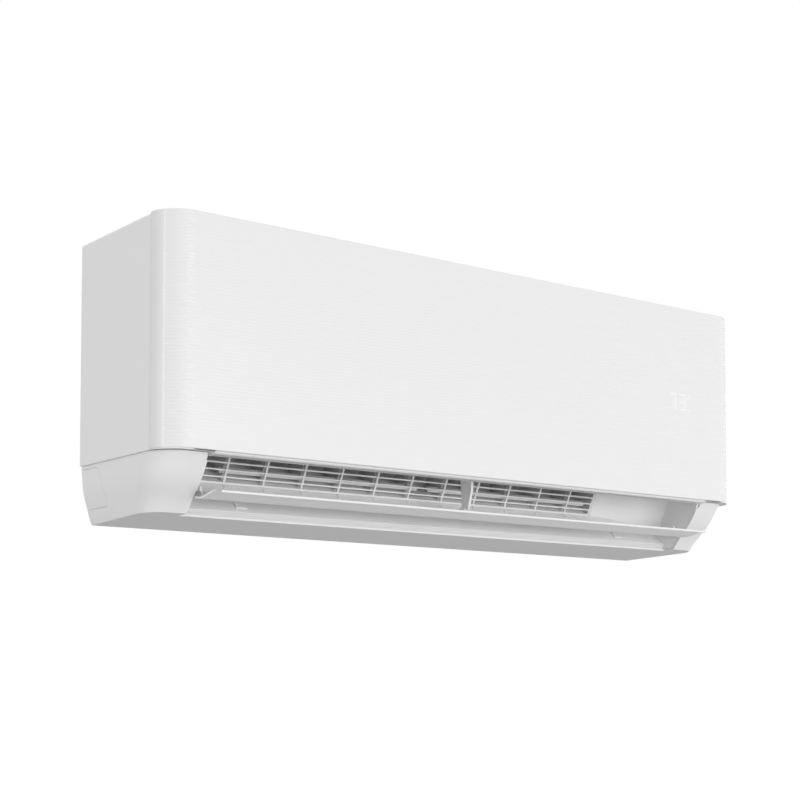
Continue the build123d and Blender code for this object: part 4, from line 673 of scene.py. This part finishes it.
class OBJECT_OT_unit_coil(bpy.types.Operator):
    """Coil banks as rows of thin fins on copper tubes, between galvanised end plates"""
    bl_idname = "object.unit_coil"
    bl_label = "Coil"

    def execute(self, context):
        sizes = context.scene.unit_coil
        half, end_gap = 12.5, 0.4  # half a bank's thickness, and the space left at its ends
        # rolled aluminium foil: bright, with streaks along the rolling direction
        foil = metal("rolled aluminium foil", linear("#D5D9DC"), 0.34, 2.0, stretch=(1.0, 1.0, 0.15), share=0.06)
        banks = (
            ("coil_front_lower", (-147.5, 104.0), (-147.5, 169.0)),
            ("coil_front_upper", (-147.5, 178.0), (-98.0, 252.0)),
            ("coil_rear", (-74.0, 252.0), (-30.0, 190.0)),
        )
        for node, start, end in banks:
            length = math.dist(start, end)
            along = ((end[0] - start[0]) / length, (end[1] - start[1]) / length)
            outline = [(start[0] - along[1] * half, up(start[1] + along[0] * half)),
                       (end[0] - along[1] * half, up(end[1] + along[0] * half)),
                       (end[0] + along[1] * half, up(end[1] - along[0] * half)),
                       (start[0] + along[1] * half, up(start[1] - along[0] * half))]
            low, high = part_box(node)
            left, right = low[0] / MM + end_gap, high[0] / MM - end_gap
            count = int((right - left) / (sizes.fin_pitch / MM))
            bm = bmesh.new()
            for fin in range(count + 1):
                x = left + fin * (right - left) / count
                add_prism(bm, outline, x - sizes.fin_wall / MM / 2, x + sizes.fin_wall / MM / 2)
            fins = finish_mesh(bm, node.replace("coil", "fins"), foil, "unit", 0.0)
            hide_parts(node)
        # annealed copper tube: warm and a little dulled by handling
        copper = metal("annealed copper", linear("#C77B55"), 0.3, 3.0, share=0.2)
        dress(copper, "coil_tubes", "liquid_pipe", "suction_pipe", "coil_sensor")
        # turned brass: yellow, with the fine lines of the lathe
        brass = metal("turned brass", linear("#CDAE62"), 0.28, 0.8, stretch=(6.0, 1.0, 1.0), share=0.08)
        dress(brass, "liquid_flare_nut", "suction_flare_nut")
        # galvanised steel: pale grey crystals with a broken shine
        sheet = galvanised("galvanised sheet", linear("#C6CACD"))
        dress(sheet, "coil_plate_left", "coil_plate_right", "wall_plate", "motor_clamp", "control_box_lid")
        return {"FINISHED"}


class OBJECT_OT_unit_filters(bpy.types.Operator):
    """Two bent filters: a ribbed frame with a woven net"""
    bl_idname = "object.unit_filters"
    bl_label = "Filters"

    def execute(self, context):
        sizes = context.scene.unit_coil
        # polypropylene frame and net thread: pale, waxy, slightly blue
        frame_plastic = moulded("moulded polypropylene, pale", linear("#D3D8DD"), 0.5, share=0.03)
        net_plastic = moulded("woven polypropylene net", linear("#AEB6BE"), 0.55, share=0.03)
        for name in ("filter_left", "filter_right"):
            low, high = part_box(name)
            low = [value / MM for value in low]
            high = [value / MM for value in high]
            self.frame_piece(name, low, high, frame_plastic)
            self.net_piece(name, low, high, net_plastic, sizes)
        return {"FINISHED"}

    def frame_piece(self, name, low, high, plastic):
        """Rim and ribs of one filter, over the front and across the top."""
        bm = bmesh.new()
        rim, wall, rib, inset, bay_width = 6.0, 3.0, 1.6, 0.4, 42.0
        left, right = low[0], high[0]
        front, back, foot, top = low[1], high[1], low[2], high[2]
        for x in (left, right - rim):
            add_block(bm, (x, front, foot), (x + rim, front + wall, top))
            add_block(bm, (x, front + wall, top - wall), (x + rim, back, top))
        add_block(bm, (left + rim, front, foot), (right - rim, front + wall, foot + rim))
        add_block(bm, (left + rim, front, top - rim), (right - rim, front + wall, top))
        add_block(bm, (left + rim, front + wall, top - wall), (right - rim, front + rim, top))
        add_block(bm, (left + rim, back - rim, top - wall), (right - rim, back, top))
        bays = int((right - left) / bay_width)
        for bay in range(1, bays):
            x = left + bay * (right - left) / bays
            add_block(bm, (x - rib / 2, front + inset, foot + 1), (x + rib / 2, front + wall - inset, top - 1))
            add_block(bm, (x - rib / 2, front + 1, top - wall + inset), (x + rib / 2, back - 1, top - inset))
        for rung in range(1, 4):
            z = foot + rung * (top - foot) / 4
            add_block(bm, (left + 1, front + inset, z - rib / 2), (right - 1, front + wall - inset, z + rib / 2))
        for rung in range(1, 3):
            y = front + rung * (back - front) / 3
            add_block(bm, (left + 1, y - rib / 2, top - wall + inset), (right - 1, y + rib / 2, top - inset))
        # tab that a finger lifts the filter by
        middle, tab_half, tab_height = (left + right) / 2, 18, 7
        add_block(bm, (middle - tab_half, front + 0.3, foot + rim),
                  (middle + tab_half, front + 1.5, foot + rim + tab_height))
        piece = finish_mesh(bm, name + "_frame", plastic, name, 30.0)
        bevel = piece.modifiers.new("moulded edges", "BEVEL")
        bevel.width = 0.3 * MM
        bevel.segments = 2
        bevel.limit_method = "ANGLE"
        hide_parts(name)

    def net_piece(self, name, low, high, plastic, sizes):
        """Crossed threads between the ribs, in the middle of the frame's wall."""
        bm = bmesh.new()
        pitch = sizes.net_pitch / MM
        half = sizes.net_thread / MM / 2
        inset, half_wall = 2, 1.5
        left, right = low[0] + inset, high[0] - inset
        foot, top = low[2] + inset, high[2] - inset
        front, back = low[1] + inset, high[1] - inset
        deep, level = low[1] + half_wall, high[2] - half_wall
        count = int((right - left) / pitch)
        for i in range(count + 1):
            x = left + i * (right - left) / count
            add_block(bm, (x - half, deep - half, foot), (x + half, deep + half, top))
            add_block(bm, (x - half, front, level - half), (x + half, back, level + half))
        count = int((top - foot) / pitch)
        for i in range(count + 1):
            z = foot + i * (top - foot) / count
            add_block(bm, (left, deep - half * 0.6, z - half), (right, deep + half * 1.4, z + half))
        count = int((back - front) / pitch)
        for i in range(count + 1):
            y = front + i * (back - front) / count
            add_block(bm, (left, y - half, level - half * 1.4), (right, y + half, level + half * 0.6))
        finish_mesh(bm, name + "_net", plastic, name, 0.0)


class OBJECT_OT_unit_inside(bpy.types.Operator):
    """Finish of the chassis, the motors, the boards, the drain and the small parts"""
    bl_idname = "object.unit_inside"
    bl_label = "Inside parts"

    def execute(self, context):
        colours = context.scene.unit_colours
        # general-purpose ABS behind the casing: matt, a little greyer than the outside
        chassis = moulded("moulded ABS, light grey", tuple(colours.chassis), 0.55, height_mm=0.03, share=0.03)
        dress(chassis, "chassis")
        # flame-retardant plastic, near black, slightly glossy
        dark = moulded("flame-retardant ABS, black", linear("#2A2B2D"), 0.45, share=0.08)
        dress(dark, "control_box", "cable_clamp", "drain_spout", "manual_button", "room_sensor")
        # deep-drawn steel cans, tumbled
        can = metal("deep-drawn steel", linear("#B9BBBD"), 0.36, 1.5, stretch=(0.2, 1.0, 1.0), share=0.08)
        dress(can, "fan_motor", "louver_motor")
        # ground bar: bright and smooth, with the fine lines of grinding
        ground = metal("ground steel bar", linear("#CFD1D3"), 0.22, 0.6, stretch=(0.1, 4.0, 4.0), share=0.05)
        dress(ground, "fan_end_shaft", "motor_shaft")
        # sintered bronze: porous, brown and dull
        bronze = metal("sintered bronze", linear("#9C7A50"), 0.5, 0.5, share=0.25, height_mm=0.02)
        dress(bronze, "bearing_bush")
        # nitrile rubber: black, no gloss
        rubber = moulded("nitrile rubber", linear("#26262A"), 0.75, grain_mm=0.7, height_mm=0.03, share=0.1,
                         ior=1.52)
        dress(rubber, "bearing_rubber", "drain_plug")
        # urea moulding of the terminals: hard, ivory, glossy
        ivory = moulded("moulded urea, ivory", linear("#E3DFD2"), 0.3, share=0.03, ior=1.55)
        dress(ivory, "terminal_block")
        # circuit boards: green mask with lighter tracks, and black parts that stand off it
        mask, parts = linear("#1E6B3C"), linear("#2B2C30")
        dress(circuit_board("glass-epoxy board, upright", mask, parts, "X", 344.9), "main_board")
        dress(circuit_board("glass-epoxy board, display", mask, parts, "Y", -168.2), "display_board")
        return {"FINISHED"}


OPERATORS = (OBJECT_OT_unit_stage, OBJECT_OT_unit_panel, OBJECT_OT_unit_display, OBJECT_OT_unit_casing,
             OBJECT_OT_unit_outlet, OBJECT_OT_unit_coil, OBJECT_OT_unit_filters, OBJECT_OT_unit_inside)
GROUPS = {"unit_panel": UnitPanelSizes, "unit_coil": UnitCoilSizes, "unit_colours": UnitColours,
          "unit_light": UnitStageLight}


class VIEW3D_PT_unit(bpy.types.Panel):
    """Lists the unit's sizes, colours and pieces"""
    bl_label = "Mini split indoor unit"
    bl_space_type = "VIEW_3D"
    bl_region_type = "UI"
    bl_category = "Indoor unit"

    def draw(self, context):
        for group, kind in GROUPS.items():
            box = self.layout.box()
            for name in kind.__annotations__:
                box.prop(getattr(context.scene, group), name)
        for operator in OPERATORS:
            self.layout.operator(operator.bl_idname)


def register():
    """Adds the classes and the scene's property groups."""
    for kind in (*GROUPS.values(), *OPERATORS, VIEW3D_PT_unit):
        bpy.utils.register_class(kind)
    for name, kind in GROUPS.items():
        setattr(bpy.types.Scene, name, PointerProperty(type=kind))


def unregister():
    """Takes them away again."""
    for name in GROUPS:
        delattr(bpy.types.Scene, name)
    for kind in reversed((*GROUPS.values(), *OPERATORS, VIEW3D_PT_unit)):
        bpy.utils.unregister_class(kind)


def main():
    """Makes every piece in order."""
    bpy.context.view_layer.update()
    register()
    for operator in OPERATORS:
        space, name = operator.bl_idname.split(".")
        getattr(getattr(bpy.ops, space), name)()


if __name__ == "__main__":
    main()
